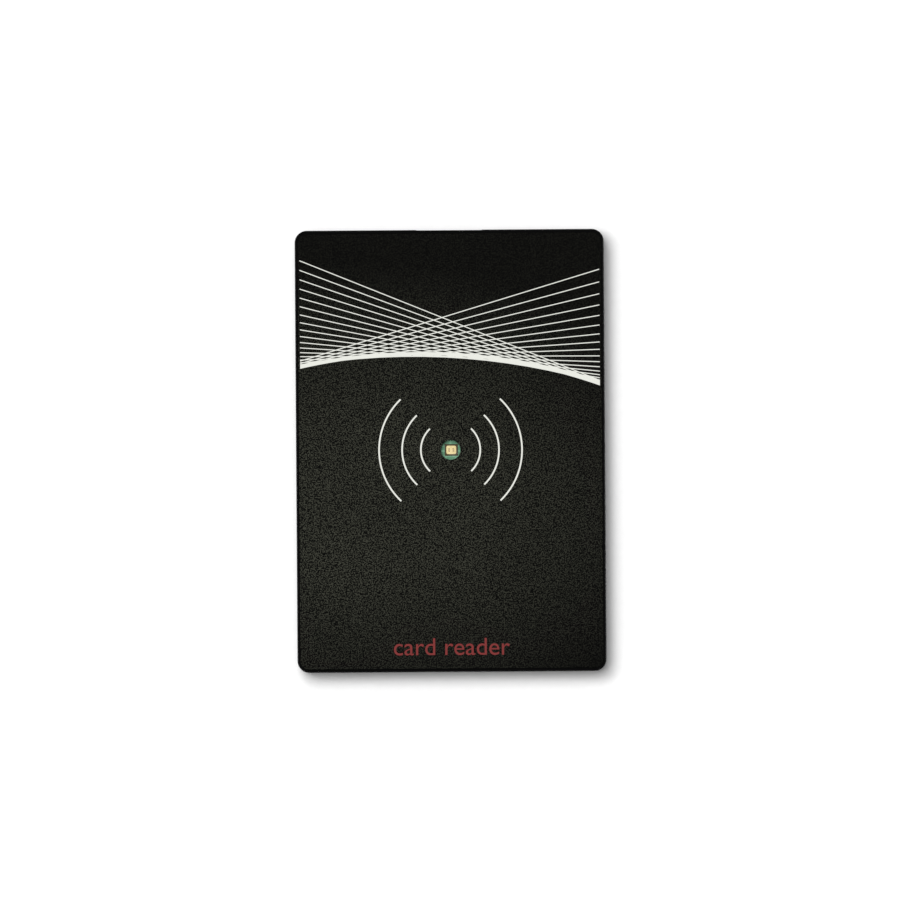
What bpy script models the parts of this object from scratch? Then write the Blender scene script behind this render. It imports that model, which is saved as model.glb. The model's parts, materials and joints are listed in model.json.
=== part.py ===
"""A flat desktop reader for contactless cards: two screwed plastic covers round one circuit board.

X runs across the reader, +Y towards its USB socket and +Z out of its face. The rubber feet
stand on z = 0, and x = y = 0 is the middle of the case. Sizes are in metres, written in
millimetres times MM.
"""

import collections
import math

import bmesh
import bpy
from mathutils import Matrix

MM = 0.001

# Outside of the case. Both covers narrow away from the parting line between them.
CASE_WIDTH = 61.5 * MM
CASE_LENGTH = 88.0 * MM
CASE_HEIGHT = 18.0 * MM
PARTING_HEIGHT = 8.0 * MM
CORNER_RADIUS = 2.4 * MM
DRAFT = math.radians(1.5)
TOP_EDGE_RADIUS = 0.12 * MM
BOTTOM_EDGE_RADIUS = 0.8 * MM

# Walls of the covers, and the tongue that locates one cover in the other.
SIDE_WALL = 2.0 * MM
TOP_WALL = 1.8 * MM
FLOOR_WALL = 2.0 * MM
INNER_RADIUS = 1.0 * MM
TONGUE_HEIGHT = 1.2 * MM
TONGUE_THICKNESS = 0.9 * MM

# Room between pieces: where covers meet, round a fitted piece, and under a glued or soldered one.
GAP = 0.3 * MM
FIT_GAP = 0.15 * MM
SEAT_GAP = 0.1 * MM
OVERCUT = 1.0 * MM  # how far a cutter runs past the face that it opens

# Printed film on the face, in a shallow recess inside a thin rim.
RIM_SIDE = 0.27 * MM
RIM_END = 0.44 * MM
OVERLAY_THICKNESS = 0.3 * MM
OVERLAY_RADIUS = 1.7 * MM
OVERLAY_BED = 0.2 * MM

# Clear window over the status light.
WINDOW_X = 0.0
WINDOW_Y = 0.2 * MM
WINDOW_DIAMETER = 3.6 * MM
WINDOW_FLANGE_DIAMETER = 5.5 * MM
WINDOW_FLANGE_THICKNESS = 0.7 * MM
LIGHT_HOLE_DIAMETER = 4.2 * MM

# Corner screws: bosses hang from the top cover, posts stand on the bottom cover.
BOSS_INSET = 3.75 * MM
BOSS_DIAMETER = 5.5 * MM
BOSS_ABOVE_PARTING = 1.0 * MM
POST_DIAMETER = 6.4 * MM
SCREW_DIAMETER = 2.5 * MM
SCREW_PITCH = 1.12 * MM
SCREW_THREAD_DEPTH = 0.3 * MM
SCREW_ENGAGEMENT = 3.6 * MM
SCREW_TIP_ROOM = 0.6 * MM
SCREW_HEAD_DIAMETER = 4.5 * MM
SCREW_HEAD_HEIGHT = 1.7 * MM
SCREW_HEAD_SINK = 0.4 * MM
CROSS_WIDTH = 0.6 * MM
CROSS_SPAN = 2.4 * MM
CROSS_DEPTH = 1.0 * MM

# Rubber feet and the blank label under the case.
FOOT_DIAMETER = 8.0 * MM
FOOT_PROUD = 1.0 * MM
FOOT_SINK = 0.6 * MM
FOOT_EDGE = 0.4 * MM
FOOT_FROM_SCREW_X = 1.5 * MM
FOOT_FROM_SCREW_Y = 8.75 * MM
LABEL_WIDTH = 37.4 * MM
LABEL_LENGTH = 45.4 * MM
LABEL_THICKNESS = 0.15 * MM
LABEL_RADIUS = 1.5 * MM
LABEL_SINK = 0.35 * MM

# Circuit board, close under the face.
BOARD_THICKNESS = 1.6 * MM
BOARD_FROM_CEILING = 0.7 * MM
BOARD_SIDE_ROOM = 1.25 * MM
BOARD_FRONT_ROOM = 1.0 * MM
BOARD_SOCKET_ROOM = 2.0 * MM
BOARD_RADIUS = 0.8 * MM
BOARD_BOSS_ROOM = 0.55 * MM
COLUMN_DIAMETER = 4.0 * MM
COLUMN_FROM_SCREW_X = 7.0 * MM
COLUMN_FROM_SCREW_Y = 3.75 * MM
SPIGOT_DIAMETER = 1.8 * MM
HOLD_DOWN_DIAMETER = 3.0 * MM

# USB socket under the board, and the opening that a plug's moulded end goes into.
SOCKET_WIDTH = 7.7 * MM
SOCKET_NARROW_WIDTH = 6.3 * MM
SOCKET_HEIGHT = 3.95 * MM
SOCKET_DEPTH = 9.2 * MM
SOCKET_WALL = 0.3 * MM
SOCKET_OVERHANG = 0.6 * MM
SOCKET_TAB_LENGTH = 1.6 * MM
SOCKET_TAB_WIDTH = 1.0 * MM
INSULATOR_BLOCK = 3.4 * MM
TONGUE_BLADE_WIDTH = 4.3 * MM
TONGUE_BLADE_THICKNESS = 0.9 * MM
TONGUE_BLADE_LENGTH = 4.8 * MM
CONTACT_COUNT = 5
CONTACT_PITCH = 0.8 * MM
CONTACT_WIDTH = 0.35 * MM
CONTACT_THICKNESS = 0.2 * MM
CONTACT_FOOT = 0.8 * MM
PLUG_OPENING_WIDTH = 12.2 * MM
PLUG_OPENING_HEIGHT = 7.4 * MM
PLUG_OPENING_RADIUS = 1.2 * MM
RELIEF_WIDTH = 13.2 * MM
RELIEF_DEPTH = 0.35 * MM
RELIEF_MARGIN = 1.5 * MM
RELIEF_SLANT = 0.5 * MM

# Antennas: a wound ring under the board, and a flat copper spiral on top of it.
COIL_BUNDLE_WIDTH = 2.0 * MM
COIL_BUNDLE_HEIGHT = 1.6 * MM
COIL_SIDE_ROOM = 1.5 * MM
COIL_COLUMN_ROOM = 1.5 * MM
COIL_SOCKET_ROOM = 3.4 * MM
COIL_RADIUS = 6.0 * MM
COIL_LEAD_DIAMETER = 0.4 * MM
COIL_LEAD_SPACING = 2.0 * MM
COIL_LEAD_SAG = 0.5 * MM
COIL_PAD_X = -16.2 * MM
COIL_PAD_Y = 3.0 * MM
LOOP_TURNS = 3
LOOP_TRACK = 0.9 * MM
LOOP_PITCH = 1.5 * MM
LOOP_THICKNESS = 0.1 * MM
LOOP_SIDE_ROOM = 1.5 * MM
LOOP_COLUMN_ROOM = 0.8 * MM
LOOP_TAIL = 12.0 * MM

# Status light: a small base with a milky lens, a little beside the window's middle.
LED_X = WINDOW_X + 0.14 * MM
LED_WIDTH = 2.1 * MM
LED_LENGTH = 1.8 * MM
LED_BASE_MARGIN = 0.25 * MM
LED_BASE_HEIGHT = 0.25 * MM
LED_LENS_HEIGHT = 0.3 * MM
LED_LENS_GAP = 0.05 * MM

# Moulded packages and their bent leads. A size is width, length and height.
Leads = collections.namedtuple("Leads", "count pitch width rise reach drop foot")
LEAD_THICKNESS = 0.16 * MM
LEAD_ROOT = 0.3 * MM
PACKAGE_STANDOFF = 0.1 * MM
PACKAGE_CHAMFER = 0.12 * MM
DIMPLE_DIAMETER = 0.5 * MM
DIMPLE_INSET = 0.8 * MM
QUAD_LEADS = Leads(8, 0.8 * MM, 0.35 * MM, 0.6 * MM, 0.25 * MM, 0.2 * MM, 0.6 * MM)
ROW_LEADS = Leads(7, 1.27 * MM, 0.42 * MM, 0.6 * MM, 0.25 * MM, 0.2 * MM, 0.6 * MM)
DIODE_LEADS = Leads(3, 0.95 * MM, 0.4 * MM, 0.4 * MM, 0.15 * MM, 0.1 * MM, 0.4 * MM)
REGULATOR_LEADS = Leads(3, 2.3 * MM, 0.7 * MM, 0.7 * MM, 0.5 * MM, 0.2 * MM, 0.8 * MM)
MICROCONTROLLER_SIZE = (7.0 * MM, 7.0 * MM, 1.5 * MM)
LF_CHIP_SIZE = (3.9 * MM, 8.65 * MM, 1.5 * MM)
DIODE_ARRAY_SIZE = (1.6 * MM, 2.9 * MM, 1.1 * MM)
REGULATOR_SIZE = (3.5 * MM, 6.5 * MM, 1.6 * MM)
REGULATOR_TAB_WIDTH = 3.0 * MM
HF_CHIP_SIDE = 5.0 * MM
HF_CHIP_HEIGHT = 0.85 * MM

# Parts with a metal cap on each end. A size is length, width and height.
CAP_SHELL = 0.06 * MM
TANTALUM_SIZE = (3.5 * MM, 2.8 * MM, 1.9 * MM)
TANTALUM_CAP = 0.5 * MM
TANTALUM_CHAMFER = 0.3 * MM
CAPACITOR_SIZE = (2.0 * MM, 1.25 * MM, 0.85 * MM)
CAPACITOR_CAP = 0.4 * MM
RESISTOR_SIZE = (2.0 * MM, 1.25 * MM, 0.55 * MM)
RESISTOR_CAP = 0.35 * MM

# Crystals, sounder and inductors.
CAN_BASE = (11.4 * MM, 4.7 * MM, 0.5 * MM)  # width, length and corner radius, here to CAN_CROWN
CAN_FLANGE = (11.0 * MM, 4.5 * MM, 2.2 * MM)
CAN_WALL = (10.2 * MM, 3.8 * MM, 1.85 * MM)
CAN_CROWN = (9.8 * MM, 3.4 * MM, 1.65 * MM)
CAN_BASE_TOP = 0.8 * MM
CAN_FLANGE_LOW = 0.6 * MM
CAN_FLANGE_TOP = 1.1 * MM
CAN_WALL_LOW = 1.2 * MM
CAN_WALL_TOP = 3.4 * MM
CAN_HEIGHT = 3.6 * MM
FLAT_CRYSTAL_SIZE = (3.2 * MM, 2.5 * MM, 0.5 * MM)
FLAT_LID_WIDTH = 2.7 * MM
FLAT_LID_LENGTH = 2.0 * MM
FLAT_LID_RADIUS = 0.2 * MM
FLAT_LID_LOW = 0.4 * MM
FLAT_LID_TOP = 0.7 * MM
BUZZER_FOOT = 9.0 * MM
BUZZER_FOOT_RADIUS = 1.0 * MM
BUZZER_FOOT_HEIGHT = 1.2 * MM
BUZZER_RADIUS = 4.3 * MM
BUZZER_EDGE = 0.3 * MM
BUZZER_HEIGHT = 4.0 * MM
BUZZER_HOLE_DIAMETER = 2.0 * MM
BUZZER_HOLE_DEPTH = 1.4 * MM
DRUM_RADIUS = 1.3 * MM
DRUM_CORE_RADIUS = 1.0 * MM
DRUM_FLANGE = 0.4 * MM
DRUM_HEIGHT = 1.6 * MM

# Places under the board: x, y, and the turn about the part's own axis in degrees.
MICROCONTROLLER_PLACE = (1.0 * MM, 3.0 * MM, 0)
LF_CHIP_PLACE = (-10.5 * MM, COIL_PAD_Y, 0)
DIODE_ARRAY_PLACE = (0.0, 12.0 * MM, 90)
HF_CHIP_PLACE = (10.5 * MM, 4.5 * MM, 0)
REGULATOR_PLACE = (-9.0 * MM, -13.5 * MM, 0)
CAN_CRYSTAL_PLACE = (-6.0 * MM, -6.5 * MM, 0)
FLAT_CRYSTAL_PLACE = (10.5 * MM, -1.2 * MM, 0)
BUZZER_PLACE = (9.5 * MM, -11.5 * MM, 0)
INDUCTOR_PLACES = [(9.0 * MM, 10.5 * MM, 0), (12.5 * MM, 10.5 * MM, 0)]
TANTALUM_PLACES = [(-1.5 * MM, -12.0 * MM, 0), (-1.5 * MM, -16.0 * MM, 0)]
CAPACITOR_PLACES = [
    (-5.8 * MM, 10.5 * MM, 0),
    (-5.8 * MM, 12.8 * MM, 0),
    (-10.5 * MM, 10.5 * MM, 0),
    (-10.5 * MM, 12.8 * MM, 0),
    (14.6 * MM, 1.0 * MM, 90),
    (14.6 * MM, 4.0 * MM, 90),
]
RESISTOR_PLACES = [
    (-14.0 * MM, -4.5 * MM, 90),
    (-14.0 * MM, -7.2 * MM, 90),
    (3.0 * MM, -4.5 * MM, 90),
    (5.5 * MM, -4.5 * MM, 90),
]

CORNER_STEPS = 8
ROUND_STEPS = 24
SMALL_ROUND_STEPS = 16


# Materials


def finish(name, colour, roughness, metallic=0.0):
    """A plain material from a linear colour."""
    made = bpy.data.materials.new(name)
    made.use_nodes = True
    shader = made.node_tree.nodes["Principled BSDF"]
    shader.inputs["Base Color"].default_value = (*colour, 1.0)
    shader.inputs["Roughness"].default_value = roughness
    shader.inputs["Metallic"].default_value = metallic
    return made


# Outlines and solids


def rounded_rectangle(width, length, radius, middle=(0.0, 0.0), steps=CORNER_STEPS):
    """Points of a rectangle with round corners, counterclockwise."""
    points = []
    corners = ((1, 1), (-1, 1), (-1, -1), (1, -1))
    for quarter, (side_x, side_y) in enumerate(corners):
        centre_x = middle[0] + side_x * (width / 2 - radius)
        centre_y = middle[1] + side_y * (length / 2 - radius)
        for step in range(steps + 1):
            angle = math.radians(90) * (quarter + step / steps)
            points.append((centre_x + radius * math.cos(angle), centre_y + radius * math.sin(angle)))
    return points


def rectangle(width, length, middle=(0.0, 0.0)):
    """Corners of a plain rectangle, counterclockwise."""
    x, y = middle
    return [
        (x + width / 2, y + length / 2),
        (x - width / 2, y + length / 2),
        (x - width / 2, y - length / 2),
        (x + width / 2, y - length / 2),
    ]


def prism(outline, low, high):
    """A mesh with one outline from a low to a high height."""
    mesh = bmesh.new()
    face = mesh.faces.new([mesh.verts.new((x, y, low)) for x, y in outline])
    grown = bmesh.ops.extrude_face_region(mesh, geom=[face])["geom"]
    raised = [item for item in grown if isinstance(item, bmesh.types.BMVert)]
    bmesh.ops.translate(mesh, vec=(0, 0, high - low), verts=raised)
    bmesh.ops.recalc_face_normals(mesh, faces=mesh.faces)
    return mesh


def skin(sections, closed_ring=False):
    """A mesh through stacked outlines with equal point counts, capped or joined into a ring."""
    mesh = bmesh.new()
    loops = [[mesh.verts.new((x, y, height)) for x, y in outline] for outline, height in sections]
    pairs = list(zip(loops, loops[1:]))
    if closed_ring:
        pairs.append((loops[-1], loops[0]))
    else:
        mesh.faces.new(loops[0])
        mesh.faces.new(loops[-1])
    for low, high in pairs:
        for index in range(len(low)):
            following = (index + 1) % len(low)
            mesh.faces.new((low[index], low[following], high[following], high[index]))
    bmesh.ops.recalc_face_normals(mesh, faces=mesh.faces)
    return mesh


def turned(profile, steps=ROUND_STEPS):
    """A mesh turned about Z from (radius, height) points that start and end on the axis."""
    mesh = bmesh.new()
    points = [mesh.verts.new((radius, 0, height)) for radius, height in profile]
    edges = [mesh.edges.new(pair) for pair in zip(points, points[1:])]
    bmesh.ops.spin(
        mesh,
        geom=points + edges,
        cent=(0, 0, 0),
        axis=(0, 0, 1),
        angle=math.tau,
        steps=steps,
        use_merge=True,
    )
    bmesh.ops.remove_doubles(mesh, verts=mesh.verts, dist=0.0001 * MM)
    bmesh.ops.recalc_face_normals(mesh, faces=mesh.faces)
    return mesh


def cylinder(diameter, low, high, steps=ROUND_STEPS):
    """A solid cylinder about Z."""
    radius = diameter / 2
    return turned([(0, low), (radius, low), (radius, high), (0, high)], steps)


def moved(mesh, x=0.0, y=0.0, z=0.0, turn=None):
    """The mesh after an optional turn and a move."""
    if turn is not None:
        bmesh.ops.transform(mesh, matrix=turn, verts=mesh.verts)
    bmesh.ops.translate(mesh, vec=(x, y, z), verts=mesh.verts)
    return mesh


def gathered(meshes):
    """One mesh that holds several, for a single cut or join. They don't touch each other."""
    whole = bmesh.new()
    for mesh in meshes:
        data = bpy.data.meshes.new("gathered")
        mesh.to_mesh(data)
        mesh.free()
        whole.from_mesh(data)
        bpy.data.meshes.remove(data)
    return whole


def solid(name, mesh, material):
    """An object made from a mesh."""
    data = bpy.data.meshes.new(name)
    mesh.to_mesh(data)
    mesh.free()
    data.materials.append(material)
    made = bpy.data.objects.new(name, data)
    bpy.context.scene.collection.objects.link(made)
    return made


def combine(target, mesh, operation):
    """Cuts a mesh from an object or joins it on."""
    tool = solid("tool", mesh, target.data.materials[0])
    change = target.modifiers.new("change", "BOOLEAN")
    change.object = tool
    change.operation = operation
    graph = bpy.context.evaluated_depsgraph_get()
    result = bpy.data.meshes.new_from_object(target.evaluated_get(graph))
    target.modifiers.clear()
    old, target.data = target.data, result
    bpy.data.meshes.remove(old)
    bpy.data.objects.remove(tool)


def cut(target, mesh):
    combine(target, mesh, "DIFFERENCE")


def join(target, mesh):
    combine(target, mesh, "UNION")


def smooth(target):
    """Shades round faces smooth and keeps edges over 35 degrees sharp."""
    target.data.shade_smooth()
    target.data.set_sharp_from_angle(angle=math.radians(35))


def lying(mesh):
    """The mesh turned so that what ran up along Z runs along +Y, and what faced +Y faces -Z."""
    return moved(mesh, turn=Matrix.Rotation(math.radians(-90), 4, "X"))


# Heights and places that several pieces share


def ceiling():
    """Underside of the top wall."""
    return CASE_HEIGHT - OVERLAY_THICKNESS - OVERLAY_BED - TOP_WALL


def inner_floor():
    return FOOT_PROUD + FLOOR_WALL


def board_top():
    return ceiling() - BOARD_FROM_CEILING


def board_bottom():
    return board_top() - BOARD_THICKNESS


def board_span_y():
    """Lowest and highest Y of the board."""
    half = CASE_LENGTH / 2 - SIDE_WALL
    return -half + BOARD_FRONT_ROOM, half - BOARD_SOCKET_ROOM


def board_width():
    return CASE_WIDTH - 2 * SIDE_WALL - 2 * BOARD_SIDE_ROOM


def corner_places(inset_x=0.0, inset_y=0.0):
    """The four screw places, moved towards the middle by the insets."""
    x = CASE_WIDTH / 2 - SIDE_WALL - BOSS_INSET - inset_x
    y = CASE_LENGTH / 2 - SIDE_WALL - BOSS_INSET - inset_y
    return [(-x, -y), (x, -y), (x, y), (-x, y)]


def column_places():
    return corner_places(COLUMN_FROM_SCREW_X, COLUMN_FROM_SCREW_Y)


def foot_places():
    return corner_places(FOOT_FROM_SCREW_X, FOOT_FROM_SCREW_Y)


def boss_end():
    """Height where a boss ends and its screw enters it."""
    return PARTING_HEIGHT + BOSS_ABOVE_PARTING


def screw_seat():
    """Height of the face that a screw head bears on."""
    return FOOT_PROUD + SCREW_HEAD_SINK + SCREW_HEAD_HEIGHT


def socket_mouth():
    return board_span_y()[1] + SOCKET_OVERHANG


def socket_back():
    return socket_mouth() - SOCKET_DEPTH


def socket_middle():
    """Height of the socket's middle."""
    return board_bottom() - SEAT_GAP - SOCKET_HEIGHT / 2


def drafted(height):
    """How far the covers' sides lie inside the parting line's outline at this height."""
    return math.tan(DRAFT) * abs(height - PARTING_HEIGHT)


def case_section(height, inset=0.0):
    """The covers' outline at a height, and the height."""
    total = drafted(height) + inset
    outline = rounded_rectangle(
        CASE_WIDTH - 2 * total, CASE_LENGTH - 2 * total, CORNER_RADIUS - total
    )
    return outline, height


def cavity_block(low, high, grow=0.0):
    """The space between the covers' side walls, grown into them on all sides."""
    outline = rounded_rectangle(
        CASE_WIDTH - 2 * SIDE_WALL + 2 * grow,
        CASE_LENGTH - 2 * SIDE_WALL + 2 * grow,
        INNER_RADIUS + grow,
    )
    return prism(outline, low, high)


def overlay_size():
    """Width and length of the printed film."""
    side = drafted(CASE_HEIGHT) + RIM_SIDE + FIT_GAP
    end = drafted(CASE_HEIGHT) + RIM_END + FIT_GAP
    return CASE_WIDTH - 2 * side, CASE_LENGTH - 2 * end


# Covers


def plug_opening():
    """The opening for a plug's moulded end, through the wall at the socket."""
    inside = socket_mouth()
    outside = CASE_LENGTH / 2 + OVERCUT
    outline = rounded_rectangle(PLUG_OPENING_WIDTH, PLUG_OPENING_HEIGHT, PLUG_OPENING_RADIUS, steps=4)
    return moved(lying(prism(outline, inside, outside)), z=socket_middle())


def plug_relief():
    """The shallow flat pocket round the plug opening, with slanted sides."""
    plane = CASE_LENGTH / 2 - RELIEF_DEPTH
    outside = CASE_LENGTH / 2 + OVERCUT
    slant = RELIEF_SLANT * (outside - plane) / RELIEF_DEPTH
    inner, outer = RELIEF_WIDTH / 2 - RELIEF_SLANT, RELIEF_WIDTH / 2 - RELIEF_SLANT + slant
    outline = [(inner, plane), (outer, outside), (-outer, outside), (-inner, plane)]
    reach = PLUG_OPENING_HEIGHT / 2 + RELIEF_MARGIN
    return prism(outline, socket_middle() - reach, socket_middle() + reach)


def make_top_cover(material):
    low = PARTING_HEIGHT + GAP / 2
    sections = [case_section(low), case_section(CASE_HEIGHT - TOP_EDGE_RADIUS)]
    sections.append(case_section(CASE_HEIGHT - TOP_EDGE_RADIUS * 0.3, TOP_EDGE_RADIUS * 0.3))
    sections.append(case_section(CASE_HEIGHT, TOP_EDGE_RADIUS))
    cover = solid("top_cover", skin(sections), material)
    cut(cover, cavity_block(low - OVERCUT, ceiling()))
    rebate_top = PARTING_HEIGHT + TONGUE_HEIGHT + GAP
    cut(cover, cavity_block(low - OVERCUT, rebate_top, TONGUE_THICKNESS + GAP))
    root = ceiling() + TOP_WALL / 2
    bosses = [moved(cylinder(BOSS_DIAMETER, boss_end(), root), x, y) for x, y in corner_places()]
    join(cover, gathered(bosses))
    pin_end = board_top() + GAP
    pins = [
        moved(cylinder(HOLD_DOWN_DIAMETER, pin_end, root, SMALL_ROUND_STEPS), x, y)
        for x, y in column_places()
    ]
    join(cover, gathered(pins))
    bore = SCREW_DIAMETER + 2 * FIT_GAP
    bore_end = boss_end() + SCREW_ENGAGEMENT + SCREW_TIP_ROOM
    bores = [
        moved(cylinder(bore, boss_end() - OVERCUT, bore_end, SMALL_ROUND_STEPS), x, y)
        for x, y in corner_places()
    ]
    cut(cover, gathered(bores))
    width, length = overlay_size()
    bed = CASE_HEIGHT - OVERLAY_THICKNESS - OVERLAY_BED
    recess = rounded_rectangle(
        width + 2 * FIT_GAP, length + 2 * FIT_GAP, OVERLAY_RADIUS + FIT_GAP
    )
    cut(cover, prism(recess, bed, CASE_HEIGHT + OVERCUT))
    seat = bed - WINDOW_FLANGE_THICKNESS - SEAT_GAP - FIT_GAP
    flange = WINDOW_FLANGE_DIAMETER + 2 * FIT_GAP
    stepped = [
        (0, ceiling() - OVERCUT),
        (LIGHT_HOLE_DIAMETER / 2, ceiling() - OVERCUT),
        (LIGHT_HOLE_DIAMETER / 2, seat),
        (flange / 2, seat),
        (flange / 2, bed + OVERCUT),
        (0, bed + OVERCUT),
    ]
    cut(cover, moved(turned(stepped), WINDOW_X, WINDOW_Y))
    cut(cover, plug_opening())
    cut(cover, plug_relief())
    smooth(cover)
    return cover


def make_bottom_cover(material):
    rim = PARTING_HEIGHT - GAP / 2
    edge = BOTTOM_EDGE_RADIUS
    sections = []
    for step in range(5):
        angle = math.radians(90) * step / 4
        height = FOOT_PROUD + edge * (1 - math.sin(angle))
        sections.append(case_section(height, edge * (1 - math.cos(angle))))
    sections.reverse()
    sections.append(case_section(rim))
    cover = solid("bottom_cover", skin(sections), material)
    join(cover, cavity_block(inner_floor(), rim + TONGUE_HEIGHT, TONGUE_THICKNESS))
    cut(cover, cavity_block(inner_floor(), rim + TONGUE_HEIGHT + OVERCUT))
    foundation = FOOT_PROUD + FLOOR_WALL / 2
    posts = [
        moved(cylinder(POST_DIAMETER, foundation, boss_end() - GAP), x, y)
        for x, y in corner_places()
    ]
    join(cover, gathered(posts))
    shoulder = board_bottom() - GAP
    step_profile = [
        (0, foundation),
        (COLUMN_DIAMETER / 2, foundation),
        (COLUMN_DIAMETER / 2, shoulder),
        (SPIGOT_DIAMETER / 2, shoulder),
        (SPIGOT_DIAMETER / 2, board_top() - GAP),
        (0, board_top() - GAP),
    ]
    columns = [moved(turned(step_profile, SMALL_ROUND_STEPS), x, y) for x, y in column_places()]
    join(cover, gathered(columns))
    hole = SCREW_DIAMETER / 2 + FIT_GAP
    head = SCREW_HEAD_DIAMETER / 2 + GAP
    screw_profile = [
        (0, FOOT_PROUD - OVERCUT),
        (head, FOOT_PROUD - OVERCUT),
        (head, screw_seat() + SEAT_GAP),
        (hole, screw_seat() + SEAT_GAP),
        (hole, boss_end() + OVERCUT),
        (0, boss_end() + OVERCUT),
    ]
    holes = [moved(turned(screw_profile), x, y) for x, y in corner_places()]
    cut(cover, gathered(holes))
    beds = [
        moved(cylinder(FOOT_DIAMETER + 2 * GAP, FOOT_PROUD - OVERCUT, FOOT_PROUD + FOOT_SINK), x, y)
        for x, y in foot_places()
    ]
    cut(cover, gathered(beds))
    label_bed = rounded_rectangle(
        LABEL_WIDTH + 2 * GAP, LABEL_LENGTH + 2 * GAP, LABEL_RADIUS + GAP, steps=4
    )
    cut(cover, prism(label_bed, FOOT_PROUD - OVERCUT, FOOT_PROUD + LABEL_SINK))
    cut(cover, plug_opening())
    cut(cover, plug_relief())
    smooth(cover)
    return cover


# What shows on the outside of the covers


def make_face_overlay(material):
    width, length = overlay_size()
    low = CASE_HEIGHT - OVERLAY_THICKNESS
    film = solid(
        "face_overlay",
        prism(rounded_rectangle(width, length, OVERLAY_RADIUS), low, CASE_HEIGHT),
        material,
    )
    hole = cylinder(WINDOW_DIAMETER + 2 * FIT_GAP, low - OVERCUT, CASE_HEIGHT + OVERCUT)
    cut(film, moved(hole, WINDOW_X, WINDOW_Y))
    return film


def make_led_window(material):
    high = CASE_HEIGHT - SEAT_GAP / 2
    shoulder = CASE_HEIGHT - OVERLAY_THICKNESS - OVERLAY_BED - FIT_GAP
    low = shoulder - WINDOW_FLANGE_THICKNESS
    profile = [
        (0, low),
        (WINDOW_FLANGE_DIAMETER / 2, low),
        (WINDOW_FLANGE_DIAMETER / 2, shoulder),
        (WINDOW_DIAMETER / 2, shoulder),
        (WINDOW_DIAMETER / 2, high),
        (0, high),
    ]
    window = solid("led_window", moved(turned(profile), WINDOW_X, WINDOW_Y), material)
    smooth(window)
    return window


def make_foot(name, place, material):
    """A round rubber foot: its flat underside stands on z = 0."""
    radius = FOOT_DIAMETER / 2
    top = FOOT_PROUD + FOOT_SINK - SEAT_GAP
    profile = [(0, 0), (radius - FOOT_EDGE, 0)]
    for step in range(1, 4):
        angle = math.radians(90) * step / 3
        across = radius - FOOT_EDGE * (1 - math.sin(angle))
        profile.append((across, FOOT_EDGE * (1 - math.cos(angle))))
    profile += [(radius, top), (0, top)]
    foot = solid(name, moved(turned(profile), *place), material)
    smooth(foot)
    return foot


def make_rating_label(material):
    low = FOOT_PROUD + LABEL_SINK - SEAT_GAP - LABEL_THICKNESS
    outline = rounded_rectangle(LABEL_WIDTH, LABEL_LENGTH, LABEL_RADIUS, steps=4)
    return solid("rating_label", prism(outline, low, low + LABEL_THICKNESS), material)


def make_case_screw(name, place, material):
    """A pan head screw, driven from below. Its thread is rings of the thread's pitch."""
    seat = screw_seat()
    head = SCREW_HEAD_DIAMETER / 2
    tip = boss_end() + SCREW_ENGAGEMENT
    outer = SCREW_DIAMETER / 2
    core = outer - SCREW_THREAD_DEPTH
    face = seat - SCREW_HEAD_HEIGHT
    profile = [(0, face), (head * 0.6, face), (head * 0.9, face + SCREW_HEAD_HEIGHT * 0.25)]
    profile += [(head, face + SCREW_HEAD_HEIGHT * 0.6), (head, seat), (core, seat)]
    turns = int((tip - seat) / SCREW_PITCH) - 1
    start = tip - turns * SCREW_PITCH - SCREW_PITCH / 2
    for turn in range(turns):
        root = start + turn * SCREW_PITCH
        profile += [(core, root), (outer, root + SCREW_PITCH / 2)]
    profile += [(core, start + turns * SCREW_PITCH), (core * 0.4, tip), (0, tip)]
    screw = solid(name, moved(turned(profile, SMALL_ROUND_STEPS), *place), material)
    slots = [
        prism(rectangle(*size, place), face - OVERCUT, face + CROSS_DEPTH)
        for size in ((CROSS_SPAN, CROSS_WIDTH), (CROSS_WIDTH, CROSS_SPAN))
    ]
    for slot in slots:
        cut(screw, slot)
    smooth(screw)
    return screw


# Board and antennas


def make_main_board(material):
    low_y, high_y = board_span_y()
    middle = (0.0, (low_y + high_y) / 2)
    outline = rounded_rectangle(board_width(), high_y - low_y, BOARD_RADIUS, middle, steps=3)
    board = solid("main_board", prism(outline, board_bottom(), board_top()), material)
    room = BOSS_DIAMETER / 2 + BOARD_BOSS_ROOM
    notches = []
    for x, y in corner_places():
        far_x = math.copysign(CASE_WIDTH / 2, x)
        far_y = math.copysign(CASE_LENGTH / 2, y)
        near_x = x - math.copysign(room, x)
        near_y = y - math.copysign(room, y)
        shape = rounded_rectangle(
            abs(far_x - near_x),
            abs(far_y - near_y),
            BOARD_RADIUS,
            ((far_x + near_x) / 2, (far_y + near_y) / 2),
            steps=3,
        )
        notches.append(prism(shape, board_bottom() - OVERCUT, board_top() + OVERCUT))
    cut(board, gathered(notches))
    hole = SPIGOT_DIAMETER + 2 * GAP
    holes = [
        moved(cylinder(hole, board_bottom() - OVERCUT, board_top() + OVERCUT, SMALL_ROUND_STEPS), x, y)
        for x, y in column_places()
    ]
    cut(board, gathered(holes))
    return board


def coil_box():
    """Half the coil ring's outer width, and its lowest and highest Y."""
    column_edge = -column_places()[0][1] - COLUMN_DIAMETER / 2
    low = -(column_edge - COIL_COLUMN_ROOM)
    high = socket_back() - COIL_SOCKET_ROOM
    return board_width() / 2 - COIL_SIDE_ROOM, low, high


def coil_middle():
    """Height of the coil bundle's middle."""
    return board_bottom() - GAP - COIL_BUNDLE_HEIGHT / 2


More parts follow.
